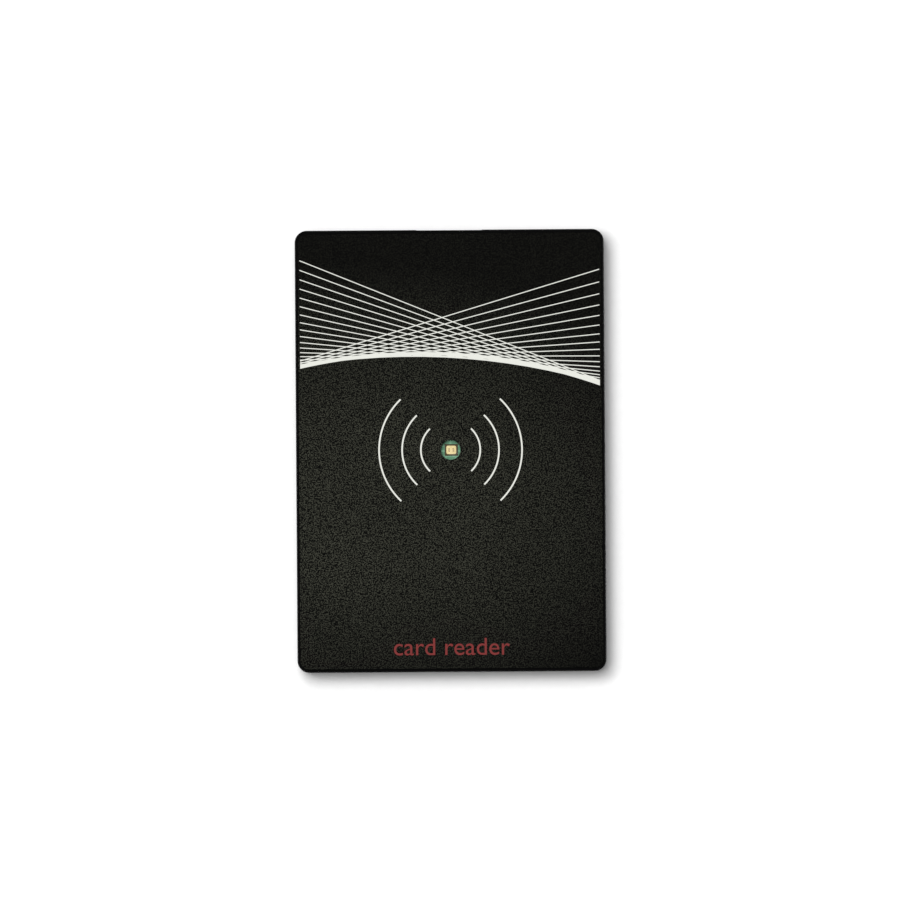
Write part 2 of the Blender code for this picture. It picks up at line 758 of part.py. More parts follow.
def make_lf_antenna_coil(material):
    """The wound ring: a flat oval bundle along a rectangle with round corners."""
    half, low, high = coil_box()
    sections = []
    for step in range(8):
        angle = math.radians(22.5 + 45 * step)
        across = COIL_BUNDLE_WIDTH / 2 * math.cos(angle) / math.cos(math.radians(22.5))
        height = COIL_BUNDLE_HEIGHT / 2 * math.sin(angle) / math.cos(math.radians(22.5))
        outline = rounded_rectangle(
            2 * half - COIL_BUNDLE_WIDTH + 2 * across,
            high - low - COIL_BUNDLE_WIDTH + 2 * across,
            COIL_RADIUS - COIL_BUNDLE_WIDTH / 2 + across,
            (0.0, (low + high) / 2),
        )
        sections.append((outline, coil_middle() + height))
    coil = solid("lf_antenna_coil", skin(sections, closed_ring=True), material)
    smooth(coil)
    return coil


def make_coil_lead(name, y, material):
    """An enamelled wire from the coil's inner side to its pad under the board."""
    start = -coil_box()[0] + COIL_BUNDLE_WIDTH + COIL_LEAD_DIAMETER / 2
    end_height = board_bottom() - SEAT_GAP - COIL_LEAD_DIAMETER / 2
    steps = 10
    curve = bpy.data.curves.new(name, "CURVE")
    curve.dimensions = "3D"
    curve.bevel_depth = COIL_LEAD_DIAMETER / 2
    curve.bevel_resolution = 1
    curve.use_fill_caps = True
    line = curve.splines.new("POLY")
    line.points.add(steps)
    for step, point in enumerate(line.points):
        share = step / steps
        sag = COIL_LEAD_SAG * math.sin(math.pi * share)
        x = start + (COIL_PAD_X - start) * share
        height = coil_middle() + (end_height - coil_middle()) * share - sag
        point.co = (x, y, height, 1.0)
    curve.materials.append(material)
    lead = bpy.data.objects.new(name, curve)
    bpy.context.scene.collection.objects.link(lead)
    return lead


def make_hf_antenna_loop(material):
    """The flat copper spiral on the board's top. Its two edges are one spiral at two insets."""
    half_x = board_width() / 2 - LOOP_SIDE_ROOM
    column_edge = column_places()[2][1] - COLUMN_DIAMETER / 2
    half_y = column_edge - LOOP_COLUMN_ROOM

    def edge(inset):
        points = [(-half_x, half_y - inset)]
        for turn in range(LOOP_TURNS):
            x = half_x - inset - turn * LOOP_PITCH
            y = half_y - inset - turn * LOOP_PITCH
            points += [(x, y), (x, -y), (-x, -y), (-x, y - LOOP_PITCH)]
        end_x = -half_x + LOOP_TURNS * LOOP_PITCH + LOOP_TAIL
        points.append((end_x, half_y - inset - LOOP_TURNS * LOOP_PITCH))
        return points

    outline = edge(0.0) + list(reversed(edge(LOOP_TRACK)))
    low = board_top() + SEAT_GAP
    return solid("hf_antenna_loop", prism(outline, low, low + LOOP_THICKNESS), material)


def make_status_led(base_material, lens_material):
    low = board_top() + SEAT_GAP
    base_size = (LED_WIDTH + 2 * LED_BASE_MARGIN, LED_LENGTH + 2 * LED_BASE_MARGIN)
    place = (LED_X, WINDOW_Y)
    base = solid(
        "status_led_base",
        prism(rectangle(*base_size, place), low, low + LED_BASE_HEIGHT),
        base_material,
    )
    lens_low = low + LED_BASE_HEIGHT + LED_LENS_GAP
    lens = solid(
        "status_led_lens",
        prism(rectangle(LED_WIDTH, LED_LENGTH, place), lens_low, lens_low + LED_LENS_HEIGHT),
        lens_material,
    )
    return [base, lens]


# Packages on the board's underside. Each is made standing on z = 0, then turned over.


def under_board(made, place):
    """Hangs a package under the board at a place, turned about its own axis."""
    x, y, turn = place
    made.location = (x, y, board_bottom() - SEAT_GAP)
    made.rotation_euler = (math.pi, 0.0, math.radians(turn))
    return made


def lead_strip(leads):
    """One bent lead, from inside a package's side out along +X to its foot on the board."""
    bend_x = leads.reach + leads.drop
    outline = [
        (-LEAD_ROOT, leads.rise),
        (leads.reach, leads.rise),
        (bend_x, 0.0),
        (bend_x + leads.foot, 0.0),
        (bend_x + leads.foot, LEAD_THICKNESS),
        (bend_x + LEAD_THICKNESS / 2, LEAD_THICKNESS),
        (leads.reach + LEAD_THICKNESS / 2, leads.rise + LEAD_THICKNESS),
        (-LEAD_ROOT, leads.rise + LEAD_THICKNESS),
    ]
    upright = Matrix.Rotation(math.radians(90), 4, "X")
    return moved(prism(outline, -leads.width / 2, leads.width / 2), turn=upright)


def make_package(name, size, leads, turns, material):
    """A moulded package with a row of bent leads on each side that the turns name."""
    width, length, height = size
    top = rectangle(width - 2 * PACKAGE_CHAMFER, length - 2 * PACKAGE_CHAMFER)
    sections = [
        (top, PACKAGE_STANDOFF),
        (rectangle(width, length), leads.rise + LEAD_THICKNESS / 2),
        (top, height),
    ]
    package = solid(name, skin(sections), material)
    strips = []
    for turn in turns:
        across = (length if turn % 180 == 90 else width) / 2
        for index in range(leads.count):
            offset = (index - (leads.count - 1) / 2) * leads.pitch
            strip = moved(lead_strip(leads), across, offset)
            strips.append(moved(strip, turn=Matrix.Rotation(math.radians(turn), 4, "Z")))
    join(package, gathered(strips))
    dimple = cylinder(DIMPLE_DIAMETER, height - PACKAGE_STANDOFF, height + OVERCUT, 8)
    cut(package, moved(dimple, -width / 2 + DIMPLE_INSET, length / 2 - DIMPLE_INSET))
    return package


def make_regulator(material):
    """A small-outline regulator: three leads on one side and a wide cooling tab on the other."""
    regulator = make_package(
        "voltage_regulator", REGULATOR_SIZE, REGULATOR_LEADS, (0,), material
    )
    tab = lead_strip(REGULATOR_LEADS._replace(width=REGULATOR_TAB_WIDTH))
    moved(tab, REGULATOR_SIZE[0] / 2, 0.0)
    join(regulator, moved(tab, turn=Matrix.Rotation(math.pi, 4, "Z")))
    return regulator


def make_bare_chip(name, side, height, material):
    """A flat leadless chip with a marked corner."""
    sections = [
        (rectangle(side, side), 0.0),
        (rectangle(side, side), height - PACKAGE_CHAMFER),
        (rectangle(side - PACKAGE_CHAMFER, side - PACKAGE_CHAMFER), height),
    ]
    chip = solid(name, skin(sections), material)
    dimple = cylinder(DIMPLE_DIAMETER, height - PACKAGE_STANDOFF, height + OVERCUT, 8)
    cut(chip, moved(dimple, -side / 2 + DIMPLE_INSET, side / 2 - DIMPLE_INSET))
    return chip


def make_end_capped(name, size, cap, material, chamfer=0.0):
    """A chip part: a body with a slightly thicker metal cap over each end."""
    length, width, height = size
    inner = width - 2 * CAP_SHELL
    body = [
        (rectangle(length - cap, inner), CAP_SHELL),
        (rectangle(length - cap, inner), height - CAP_SHELL - chamfer),
        (rectangle(length - cap, inner - chamfer), height - CAP_SHELL),
    ]
    made = solid(name, skin(body), material)
    ends = [
        prism(rectangle(cap, width, (side * (length - cap) / 2, 0.0)), 0.0, height)
        for side in (-1, 1)
    ]
    join(made, gathered(ends))
    return made


def make_can_crystal(name, material):
    """A quartz crystal in a drawn steel can on a plastic base."""
    base = rounded_rectangle(*CAN_BASE, steps=3)
    flange = rounded_rectangle(*CAN_FLANGE, steps=5)
    wall = rounded_rectangle(*CAN_WALL, steps=5)
    crown = rounded_rectangle(*CAN_CROWN, steps=5)
    crystal = solid(name, prism(base, 0.0, CAN_BASE_TOP), material)
    can = [
        (flange, CAN_FLANGE_LOW),
        (flange, CAN_FLANGE_TOP),
        (wall, CAN_WALL_LOW),
        (wall, CAN_WALL_TOP),
        (crown, CAN_HEIGHT),
    ]
    join(crystal, skin(can))
    smooth(crystal)
    return crystal


def make_flat_crystal(name, material):
    """A quartz crystal in a flat ceramic package with a metal lid."""
    width, length, height = FLAT_CRYSTAL_SIZE
    crystal = solid(name, prism(rectangle(width, length), 0.0, height), material)
    lid = rounded_rectangle(FLAT_LID_WIDTH, FLAT_LID_LENGTH, FLAT_LID_RADIUS, steps=2)
    join(crystal, prism(lid, FLAT_LID_LOW, FLAT_LID_TOP))
    return crystal


def make_buzzer(material):
    """A round sounder on a square foot, with its sound hole in the middle."""
    foot = rounded_rectangle(BUZZER_FOOT, BUZZER_FOOT, BUZZER_FOOT_RADIUS, steps=3)
    buzzer = solid("buzzer", prism(foot, 0.0, BUZZER_FOOT_HEIGHT), material)
    profile = [
        (0, BUZZER_FOOT_HEIGHT / 2),
        (BUZZER_RADIUS, BUZZER_FOOT_HEIGHT / 2),
        (BUZZER_RADIUS, BUZZER_HEIGHT - BUZZER_EDGE),
        (BUZZER_RADIUS - BUZZER_EDGE, BUZZER_HEIGHT),
        (0, BUZZER_HEIGHT),
    ]
    join(buzzer, turned(profile))
    hole_low, hole_high = BUZZER_HEIGHT - BUZZER_HOLE_DEPTH, BUZZER_HEIGHT + OVERCUT
    cut(buzzer, cylinder(BUZZER_HOLE_DIAMETER, hole_low, hole_high, SMALL_ROUND_STEPS))
    smooth(buzzer)
    return buzzer


def make_drum_inductor(name, material):
    """A wound drum between two flanges."""
    profile = [
        (0, 0),
        (DRUM_RADIUS, 0),
        (DRUM_RADIUS, DRUM_FLANGE),
        (DRUM_CORE_RADIUS, DRUM_FLANGE),
        (DRUM_CORE_RADIUS, DRUM_HEIGHT - DRUM_FLANGE),
        (DRUM_RADIUS, DRUM_HEIGHT - DRUM_FLANGE),
        (DRUM_RADIUS, DRUM_HEIGHT),
        (0, DRUM_HEIGHT),
    ]
    drum = solid(name, turned(profile, SMALL_ROUND_STEPS), material)
    smooth(drum)
    return drum


# USB socket


def shell_outline(inset):
    """The socket's outline: full width at the board, narrower past a step on the far side."""
    wide = SOCKET_WIDTH / 2 - inset
    narrow = SOCKET_NARROW_WIDTH / 2 - inset
    top = SOCKET_HEIGHT / 2 - inset
    shoulder = -SOCKET_HEIGHT * 0.12
    slope_end = shoulder - (SOCKET_WIDTH - SOCKET_NARROW_WIDTH) / 2
    return [
        (wide, top),
        (-wide, top),
        (-wide, shoulder),
        (-narrow, slope_end),
        (-narrow, -top),
        (narrow, -top),
        (narrow, slope_end),
        (wide, shoulder),
    ]


def along_socket(outline, back, front, height):
    """A prism along Y whose outline is seen from the socket's mouth."""
    flipped = [(x, -z) for x, z in outline]
    return moved(lying(prism(flipped, back, front)), z=height)


def contact_xs():
    middle = (CONTACT_COUNT - 1) / 2
    return [(index - middle) * CONTACT_PITCH for index in range(CONTACT_COUNT)]


def contact_height():
    """Height of the contacts' middle, just under the insulator's blade."""
    return socket_middle() - TONGUE_BLADE_THICKNESS / 2 - SEAT_GAP / 2 - CONTACT_THICKNESS / 2


def make_usb_socket_shell(material):
    height = socket_middle()
    shell = solid(
        "usb_socket_shell",
        along_socket(shell_outline(0.0), socket_back(), socket_mouth(), height),
        material,
    )
    tabs = []
    for side in (-1, 1):
        for end in (socket_back() + SOCKET_TAB_LENGTH, board_span_y()[1] - SOCKET_TAB_LENGTH):
            size = (SOCKET_TAB_WIDTH + SOCKET_WALL, SOCKET_TAB_LENGTH)
            x = side * (SOCKET_WIDTH / 2 + SOCKET_TAB_WIDTH / 2 - SOCKET_WALL / 2)
            low = board_bottom() - SEAT_GAP - SOCKET_WALL
            tabs.append(prism(rectangle(*size, (x, end)), low, low + SOCKET_WALL))
    join(shell, gathered(tabs))
    inside = along_socket(
        shell_outline(SOCKET_WALL), socket_back() - OVERCUT, socket_mouth() + OVERCUT, height
    )
    cut(shell, inside)
    return shell


def make_usb_socket_insulator(material):
    """The plastic block at the back of the socket, and the blade that a plug slides over."""
    back = socket_back() + SEAT_GAP
    block_front = back + INSULATOR_BLOCK
    block = along_socket(
        shell_outline(SOCKET_WALL + SEAT_GAP), back, block_front, socket_middle()
    )
    insulator = solid("usb_socket_insulator", block, material)
    blade = along_socket(
        rectangle(TONGUE_BLADE_WIDTH, TONGUE_BLADE_THICKNESS),
        block_front - SEAT_GAP,
        block_front + TONGUE_BLADE_LENGTH,
        socket_middle(),
    )
    join(insulator, blade)
    tunnel = rectangle(CONTACT_WIDTH + 2 * SEAT_GAP, CONTACT_THICKNESS + 2 * SEAT_GAP)
    tunnels = [
        moved(
            along_socket(tunnel, back - OVERCUT, block_front + OVERCUT, contact_height()), x
        )
        for x in contact_xs()
    ]
    cut(insulator, gathered(tunnels))
    return insulator


def make_usb_contact(name, x, material):
    """A flat spring strip under the blade that runs out at the back and up to the board."""
    low = contact_height() - CONTACT_THICKNESS / 2
    high = low + CONTACT_THICKNESS
    tip = socket_back() + INSULATOR_BLOCK + TONGUE_BLADE_LENGTH - CONTACT_FOOT
    rise = socket_back() - CONTACT_FOOT
    pad = board_bottom() - SEAT_GAP
    path = [
        (tip, low),
        (tip, high),
        (rise + CONTACT_THICKNESS, high),
        (rise + CONTACT_THICKNESS, pad),
        (rise - CONTACT_FOOT, pad),
        (rise - CONTACT_FOOT, pad - CONTACT_THICKNESS),
        (rise, pad - CONTACT_THICKNESS),
        (rise, low),
    ]
    upright = Matrix(((0, 0, 1, 0), (1, 0, 0, 0), (0, 1, 0, 0), (0, 0, 0, 1)))
    strip = prism(path, -CONTACT_WIDTH / 2, CONTACT_WIDTH / 2)
    return solid(name, moved(strip, x=x, turn=upright), material)


# The whole reader


def make_outside(parts):
    black = finish("black ABS", (0.012, 0.012, 0.012), 0.45)
    rubber = finish("black rubber", (0.02, 0.02, 0.02), 0.9)
    parts.append(make_top_cover(black))
    parts.append(make_bottom_cover(black))
    parts.append(make_face_overlay(finish("printed film", (0.018, 0.019, 0.015), 0.5)))
    parts.append(make_led_window(finish("clear polycarbonate", (0.6, 0.65, 0.55), 0.1)))
    parts.append(make_rating_label(finish("plain white label", (0.8, 0.8, 0.78), 0.6)))
    steel = finish("black zinc steel", (0.1, 0.1, 0.1), 0.35, 1.0)
    for number, place in enumerate(corner_places(), 1):
        parts.append(make_case_screw(f"case_screw_{number}", place, steel))
    for number, place in enumerate(foot_places(), 1):
        parts.append(make_foot(f"rubber_foot_{number}", place, rubber))


def make_board_and_antennas(parts):
    copper = finish("bare copper", (0.75, 0.36, 0.2), 0.3, 1.0)
    enamel = finish("enamelled copper", (0.45, 0.13, 0.05), 0.35, 1.0)
    parts.append(make_main_board(finish("green solder mask", (0.05, 0.2, 0.09), 0.4)))
    parts.append(make_lf_antenna_coil(enamel))
    for number, side in enumerate((-1, 1), 1):
        y = COIL_PAD_Y + side * COIL_LEAD_SPACING / 2
        parts.append(make_coil_lead(f"coil_lead_{number}", y, enamel))
    parts.append(make_hf_antenna_loop(copper))
    base = finish("light base", (0.5, 0.45, 0.3), 0.5)
    lens = finish("milky resin", (0.83, 0.66, 0.35), 0.4)
    parts.extend(make_status_led(base, lens))


def make_chips(parts):
    resin = finish("black moulding resin", (0.02, 0.02, 0.022), 0.6)
    every_side = (0, 90, 180, 270)
    chip = make_package("microcontroller", MICROCONTROLLER_SIZE, QUAD_LEADS, every_side, resin)
    parts.append(under_board(chip, MICROCONTROLLER_PLACE))
    chip = make_package("lf_reader_chip", LF_CHIP_SIZE, ROW_LEADS, (0, 180), resin)
    parts.append(under_board(chip, LF_CHIP_PLACE))
    chip = make_package("esd_diode_array", DIODE_ARRAY_SIZE, DIODE_LEADS, (0, 180), resin)
    parts.append(under_board(chip, DIODE_ARRAY_PLACE))
    chip = make_bare_chip("hf_reader_chip", HF_CHIP_SIDE, HF_CHIP_HEIGHT, resin)
    parts.append(under_board(chip, HF_CHIP_PLACE))
    parts.append(under_board(make_regulator(resin), REGULATOR_PLACE))


def make_small_parts(parts):
    can = finish("drawn steel", (0.6, 0.6, 0.6), 0.25, 1.0)
    plastic = finish("black sounder plastic", (0.025, 0.025, 0.025), 0.5)
    ferrite = finish("wound ferrite", (0.12, 0.06, 0.04), 0.5)
    tantalum = finish("tantalum yellow", (0.7, 0.45, 0.06), 0.5)
    ceramic = finish("brown ceramic", (0.35, 0.22, 0.12), 0.5)
    resistor = finish("black glaze", (0.03, 0.03, 0.035), 0.4)
    crystal = make_can_crystal("microcontroller_crystal", can)
    parts.append(under_board(crystal, CAN_CRYSTAL_PLACE))
    parts.append(under_board(make_flat_crystal("hf_crystal", can), FLAT_CRYSTAL_PLACE))
    parts.append(under_board(make_buzzer(plastic), BUZZER_PLACE))
    for number, place in enumerate(INDUCTOR_PLACES, 1):
        drum = make_drum_inductor(f"filter_inductor_{number}", ferrite)
        parts.append(under_board(drum, place))
    for number, place in enumerate(TANTALUM_PLACES, 1):
        name = f"tantalum_capacitor_{number}"
        made = make_end_capped(name, TANTALUM_SIZE, TANTALUM_CAP, tantalum, TANTALUM_CHAMFER)
        parts.append(under_board(made, place))
    for number, place in enumerate(CAPACITOR_PLACES, 1):
        name = f"chip_capacitor_{number}"
        made = make_end_capped(name, CAPACITOR_SIZE, CAPACITOR_CAP, ceramic)
        parts.append(under_board(made, place))
    for number, place in enumerate(RESISTOR_PLACES, 1):
        name = f"chip_resistor_{number}"
        made = make_end_capped(name, RESISTOR_SIZE, RESISTOR_CAP, resistor)
        parts.append(under_board(made, place))


def make_socket(parts):
    tin = finish("tinned steel", (0.65, 0.65, 0.63), 0.3, 1.0)
    black = finish("black nylon", (0.02, 0.02, 0.02), 0.5)
    gold = finish("gold plate", (0.8, 0.6, 0.25), 0.3, 1.0)
    parts.append(make_usb_socket_shell(tin))
    parts.append(make_usb_socket_insulator(black))
    for number, x in enumerate(contact_xs(), 1):
        parts.append(make_usb_contact(f"usb_contact_{number}", x, gold))


def main():
    for existing in list(bpy.data.objects):
        bpy.data.objects.remove(existing)
    parts = []
    make_outside(parts)
    make_board_and_antennas(parts)
    make_chips(parts)
    make_small_parts(parts)
    make_socket(parts)
    reader = bpy.data.objects.new("card_reader", None)
    bpy.context.scene.collection.objects.link(reader)
    for part in parts:
        part.parent = reader


main()
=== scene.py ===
# %% [markdown]
# # A desktop card reader: from plain solids to finished looks
# The solids of a flat card reader are ready: two covers, a printed film, feet, screws, and a
# circuit board with its antennas and its USB socket. This lesson loads them as a fixed frame and
# gives each one its finish. Where a solid is too plain for a close look, a finer piece is
# modelled in the same place and stands for it.

# %% Load the solids
import json
import math

import bmesh
import bpy
from mathutils import Matrix, Vector

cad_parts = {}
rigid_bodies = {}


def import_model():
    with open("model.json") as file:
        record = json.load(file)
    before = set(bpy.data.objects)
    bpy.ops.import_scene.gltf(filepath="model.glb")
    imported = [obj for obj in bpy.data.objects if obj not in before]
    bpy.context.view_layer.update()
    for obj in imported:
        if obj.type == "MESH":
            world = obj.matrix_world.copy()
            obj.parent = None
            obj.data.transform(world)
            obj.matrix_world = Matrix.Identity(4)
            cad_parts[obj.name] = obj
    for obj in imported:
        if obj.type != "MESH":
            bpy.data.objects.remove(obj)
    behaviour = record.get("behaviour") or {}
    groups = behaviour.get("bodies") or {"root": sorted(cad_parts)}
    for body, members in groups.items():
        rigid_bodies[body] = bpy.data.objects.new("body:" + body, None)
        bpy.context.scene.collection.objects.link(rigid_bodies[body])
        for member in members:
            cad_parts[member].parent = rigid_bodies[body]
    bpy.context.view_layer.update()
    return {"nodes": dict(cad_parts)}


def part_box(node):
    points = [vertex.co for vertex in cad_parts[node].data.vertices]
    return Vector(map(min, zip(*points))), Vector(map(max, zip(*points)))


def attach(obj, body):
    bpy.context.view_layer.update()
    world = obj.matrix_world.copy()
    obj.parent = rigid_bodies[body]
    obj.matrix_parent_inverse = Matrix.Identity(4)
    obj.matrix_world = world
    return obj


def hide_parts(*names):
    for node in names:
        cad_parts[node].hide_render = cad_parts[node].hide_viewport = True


for leftover in list(bpy.data.objects):
    bpy.data.objects.remove(leftover)

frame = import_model()
nodes = frame["nodes"]
MM = 0.001
print("loaded", len(nodes), "solids")

# %% [markdown]
# ## Shader nodes from a script
# A shader works in linear light, while a colour that is given is an sRGB value, so every
# colour passes through one function. A second function adds a shader node, with its settings and
# its links in one line, which leaves each material with only the lines that are its own.

# %% Colours and nodes


def linear(code):
    """The linear colour of an sRGB hex code such as "#808080"."""
    channels = [int(code[start : start + 2], 16) / 255 for start in (1, 3, 5)]
    return [c / 12.92 if c <= 0.04045 else ((c + 0.055) / 1.055) ** 2.4 for c in channels] + [1.0]


def connect(tree, node, **inputs):
    """Sets a node's inputs: each is a value, a socket, or a node whose first output is meant."""
    for name, value in inputs.items():
        wanted = name.replace("_", " ")
        socket = next(s for s in node.inputs if s.name == wanted and s.enabled)
        if isinstance(value, bpy.types.Node):
            value = next(s for s in value.outputs if s.enabled)
        if isinstance(value, bpy.types.NodeSocket):
            tree.links.new(value, socket)
        else:
            socket.default_value = value


def add(tree, kind, settings=None, **inputs):
    """Adds a shader node with its settings and its links."""
    node = tree.nodes.new("ShaderNode" + kind)
    for name, value in (settings or {}).items():
        setattr(node, name, value)
    connect(tree, node, **inputs)
    return node


COLOUR = {"data_type": "RGBA"}


def finish(name, **constants):
    """A material with one Principled shader, its tree, and where a point is on the object."""
    material = bpy.data.materials.new(name)
    material.use_nodes = True
    tree = material.node_tree
    shader = tree.nodes["Principled BSDF"]
    connect(tree, shader, **constants)
    return material, tree, shader, add(tree, "TexCoord").outputs["Object"]


def grained(name, dark, light, grain, relief, rough, **constants):
    """A finish that drifts between tones over a fine relief, both in metres, as its gloss does."""
    material, tree, shader, place = finish(name, **constants)
    cloud = add(tree, "TexNoise", Vector=place, Scale=1 / grain, Detail=3.0, Roughness=0.6)
    share = add(tree, "MapRange", Value=cloud, From_Min=0.3, From_Max=0.7)
    tone = add(tree, "Mix", COLOUR, Factor=share, A=linear(dark), B=linear(light))
    gloss = add(tree, "MapRange", Value=cloud, To_Min=rough[0], To_Max=rough[1])
    bump = add(tree, "Bump", Height=cloud, Distance=relief, Strength=1.0)
    connect(tree, shader, Base_Color=tone, Roughness=gloss, Normal=bump)
    return material


# %% [markdown]
# ## Camera
# The reader is seen from straight above, as on a product sheet. A very long lens from three
# metres away keeps the sides upright, so the covers' draft shows only as a thin dark border. The
# whole turns by less than half a degree, because nobody lays a thing down perfectly straight.

# %% Camera
VIEW_SPAN = 179.1 * MM
LENS_HEIGHT = 3.0
SENSOR = 36.0
CAMERA_AIM = (-0.11 * MM, 0.18 * MM)
CAMERA_TURN = math.radians(-0.4)

lens = bpy.data.cameras.new("long_lens")
lens.sensor_width = SENSOR
lens.lens = SENSOR * LENS_HEIGHT / VIEW_SPAN
lens.clip_start = 0.01
lens.clip_end = 50.0
camera = bpy.data.objects.new("camera", lens)
widest_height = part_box("top_cover")[0].z
camera.location = (*CAMERA_AIM, widest_height + LENS_HEIGHT)
camera.rotation_euler = (0.0, 0.0, CAMERA_TURN)
scene = bpy.context.scene
scene.collection.objects.link(camera)
scene.camera = camera
scene.view_settings.view_transform = "Standard"
print("lens of", round(lens.lens), "mm")

# %% [markdown]
# ## Floor and light
# The floor is white paper. One large soft square lamp hangs almost overhead, a little to the upper
# left, so it throws a short shadow to the lower right and only a breath of one to the other side.
# The white surroundings fill that shadow. Paper is matt, with fibres too fine to see from here,
# so its tone only drifts a little.

# %% Floor
FLOOR_HALF = 2.0

sheet = bmesh.new()
bmesh.ops.create_grid(sheet, x_segments=1, y_segments=1, size=FLOOR_HALF)
floor_mesh = bpy.data.meshes.new("floor")
sheet.to_mesh(floor_mesh)
sheet.free()
floor_mesh.materials.append(
    grained("white_paper", "#E1E1E1", "#E4E4E4", 2.0 * MM, 0.0, (0.9, 0.95))
)
floor = bpy.data.objects.new("floor", floor_mesh)
scene.collection.objects.link(floor)

# %% Lamp
LAMP_PLACE = Vector((-0.14, 0.14, 1.80))
LAMP_SIZE = 0.40
LAMP_WATTS = 39.1

lamp = bpy.data.lights.new("key_lamp", "AREA")
lamp.shape = "SQUARE"
lamp.size = LAMP_SIZE
lamp.energy = LAMP_WATTS
stand = bpy.data.objects.new("key_lamp", lamp)
stand.location = LAMP_PLACE
stand.rotation_euler = LAMP_PLACE.to_track_quat("Z", "Y").to_euler()
scene.collection.objects.link(stand)
print("lamp", round(LAMP_PLACE.length, 2), "m away")

# %% Surroundings
ROOM_LIGHT = 0.26

world = bpy.data.worlds.new("white_room")
world.use_nodes = True
backdrop = world.node_tree.nodes["Background"]
connect(world.node_tree, backdrop, Color=linear("#FFFFFF"), Strength=ROOM_LIGHT)
scene.world = world

# %% [markdown]
# ## Making pieces
# Every piece goes the same way. A bmesh is shaped with the modelling operators, becomes an
# object at the origin, gets its material, and rides with the body of the reader. Smooth shading
# with weighted normals keeps flat walls flat and their small edge rounds bright, which is what
# makes a moulded part look moulded.

# %% From a bmesh to a piece
BODY = "root"


def piece_from(name, mesh, smooth_angle=35.0):
    """An object at the origin from a bmesh, shaded smooth up to an angle."""
    data = bpy.data.meshes.new(name)
    mesh.to_mesh(data)
    mesh.free()
    data.shade_smooth()
    data.set_sharp_from_angle(angle=math.radians(smooth_angle))
    piece = bpy.data.objects.new(name, data)
    scene.collection.objects.link(piece)
    weighted = piece.modifiers.new("flat_stays_flat", "WEIGHTED_NORMAL")
    weighted.keep_sharp = True
    return piece


def keep(piece, slot, finishes, *replaced):
    """Gives a finished piece its materials and its place in the assembly."""
    for material in finishes:
        piece.data.materials.append(material)
    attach(piece, BODY)
    if replaced:
        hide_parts(*replaced)
    print(piece.name, "has", len(piece.data.polygons), "faces")
    return piece


# %% Shapes that come back
POLE_GAP = 0.0001 * MM
SOLID_GAP = 0.0005 * MM


def plate(size, radius, low, high, middle=(0.0, 0.0), steps=12):
    """A flat plate: a grid face whose four corner points are bevelled round, then raised."""
    mesh = bmesh.new()
    bmesh.ops.create_grid(mesh, x_segments=1, y_segments=1, size=0.5)
    bmesh.ops.scale(mesh, vec=(size[0], size[1], 1.0), verts=mesh.verts)
    if radius > 0:
        bmesh.ops.bevel(
            mesh,
            geom=mesh.verts[:],
            offset=radius,
            offset_type="OFFSET",
            segments=steps,
            profile=0.5,
            affect="VERTICES",
            material=-1,
        )
    bmesh.ops.translate(mesh, vec=(middle[0], middle[1], low), verts=mesh.verts)
    grown = bmesh.ops.extrude_face_region(mesh, geom=mesh.faces[:])["geom"]
    raised = [item for item in grown if isinstance(item, bmesh.types.BMVert)]
    bmesh.ops.translate(mesh, vec=(0, 0, high - low), verts=raised)
    bmesh.ops.recalc_face_normals(mesh, faces=mesh.faces)
    return mesh


def turned(profile, middle=(0.0, 0.0), steps=64):
    """A solid turned about an upright axis, from (radius, height) points that end on it."""
    mesh = bmesh.new()
    points = [mesh.verts.new((radius, 0, height)) for radius, height in profile]
    edges = [mesh.edges.new(pair) for pair in zip(points, points[1:])]
    bmesh.ops.spin(
        mesh,
        geom=points + edges,
        cent=(0, 0, 0),
        axis=(0, 0, 1),
        angle=math.tau,
        steps=steps,
        use_merge=True,
    )
    bmesh.ops.remove_doubles(mesh, verts=mesh.verts, dist=POLE_GAP)
    bmesh.ops.recalc_face_normals(mesh, faces=mesh.faces)
    bmesh.ops.translate(mesh, vec=(middle[0], middle[1], 0), verts=mesh.verts)
    return mesh


def gathered(meshes):
    """One bmesh that holds several."""
    whole = bmesh.new()
    for mesh in meshes:
        data = bpy.data.meshes.new("gathered")
        mesh.to_mesh(data)
        mesh.free()
        whole.from_mesh(data)
        bpy.data.meshes.remove(data)
    return whole


def boolean(mesh, tool_mesh, operation, crossing=False):
    """A bmesh after an exact Boolean with another. Crossing allows a mesh that cuts itself."""
    pair = []
    for role, source in (("work", mesh), ("tool", tool_mesh)):
        data = bpy.data.meshes.new(role)
        source.to_mesh(data)
        source.free()
        pair.append(bpy.data.objects.new(role, data))
        scene.collection.objects.link(pair[-1])
    step = pair[0].modifiers.new("step", "BOOLEAN")
    step.operation = operation
    step.object = pair[1]
    step.use_self = crossing
    result = bmesh.new()
    result.from_object(pair[0], bpy.context.evaluated_depsgraph_get())
    for helper in pair:
        bpy.data.objects.remove(helper)
    return result


def soften(mesh, width, chosen=lambda point: True, sharp=40.0, segments=2):
    """Rounds the edges that are sharper than an angle and that the chosen test names."""
    edges = [
        edge
        for edge in mesh.edges
        if edge.is_manifold
        and edge.calc_face_angle() > math.radians(sharp)
        and chosen((edge.verts[0].co + edge.verts[1].co) / 2)
    ]
    bmesh.ops.bevel(
        mesh,
        geom=edges,
        offset=width,
        offset_type="OFFSET",
        segments=segments,
        profile=0.5,
        affect="EDGES",
        material=-1,
        clamp_overlap=True,
    )
    print("rounded", len(edges), "edges")
    return mesh


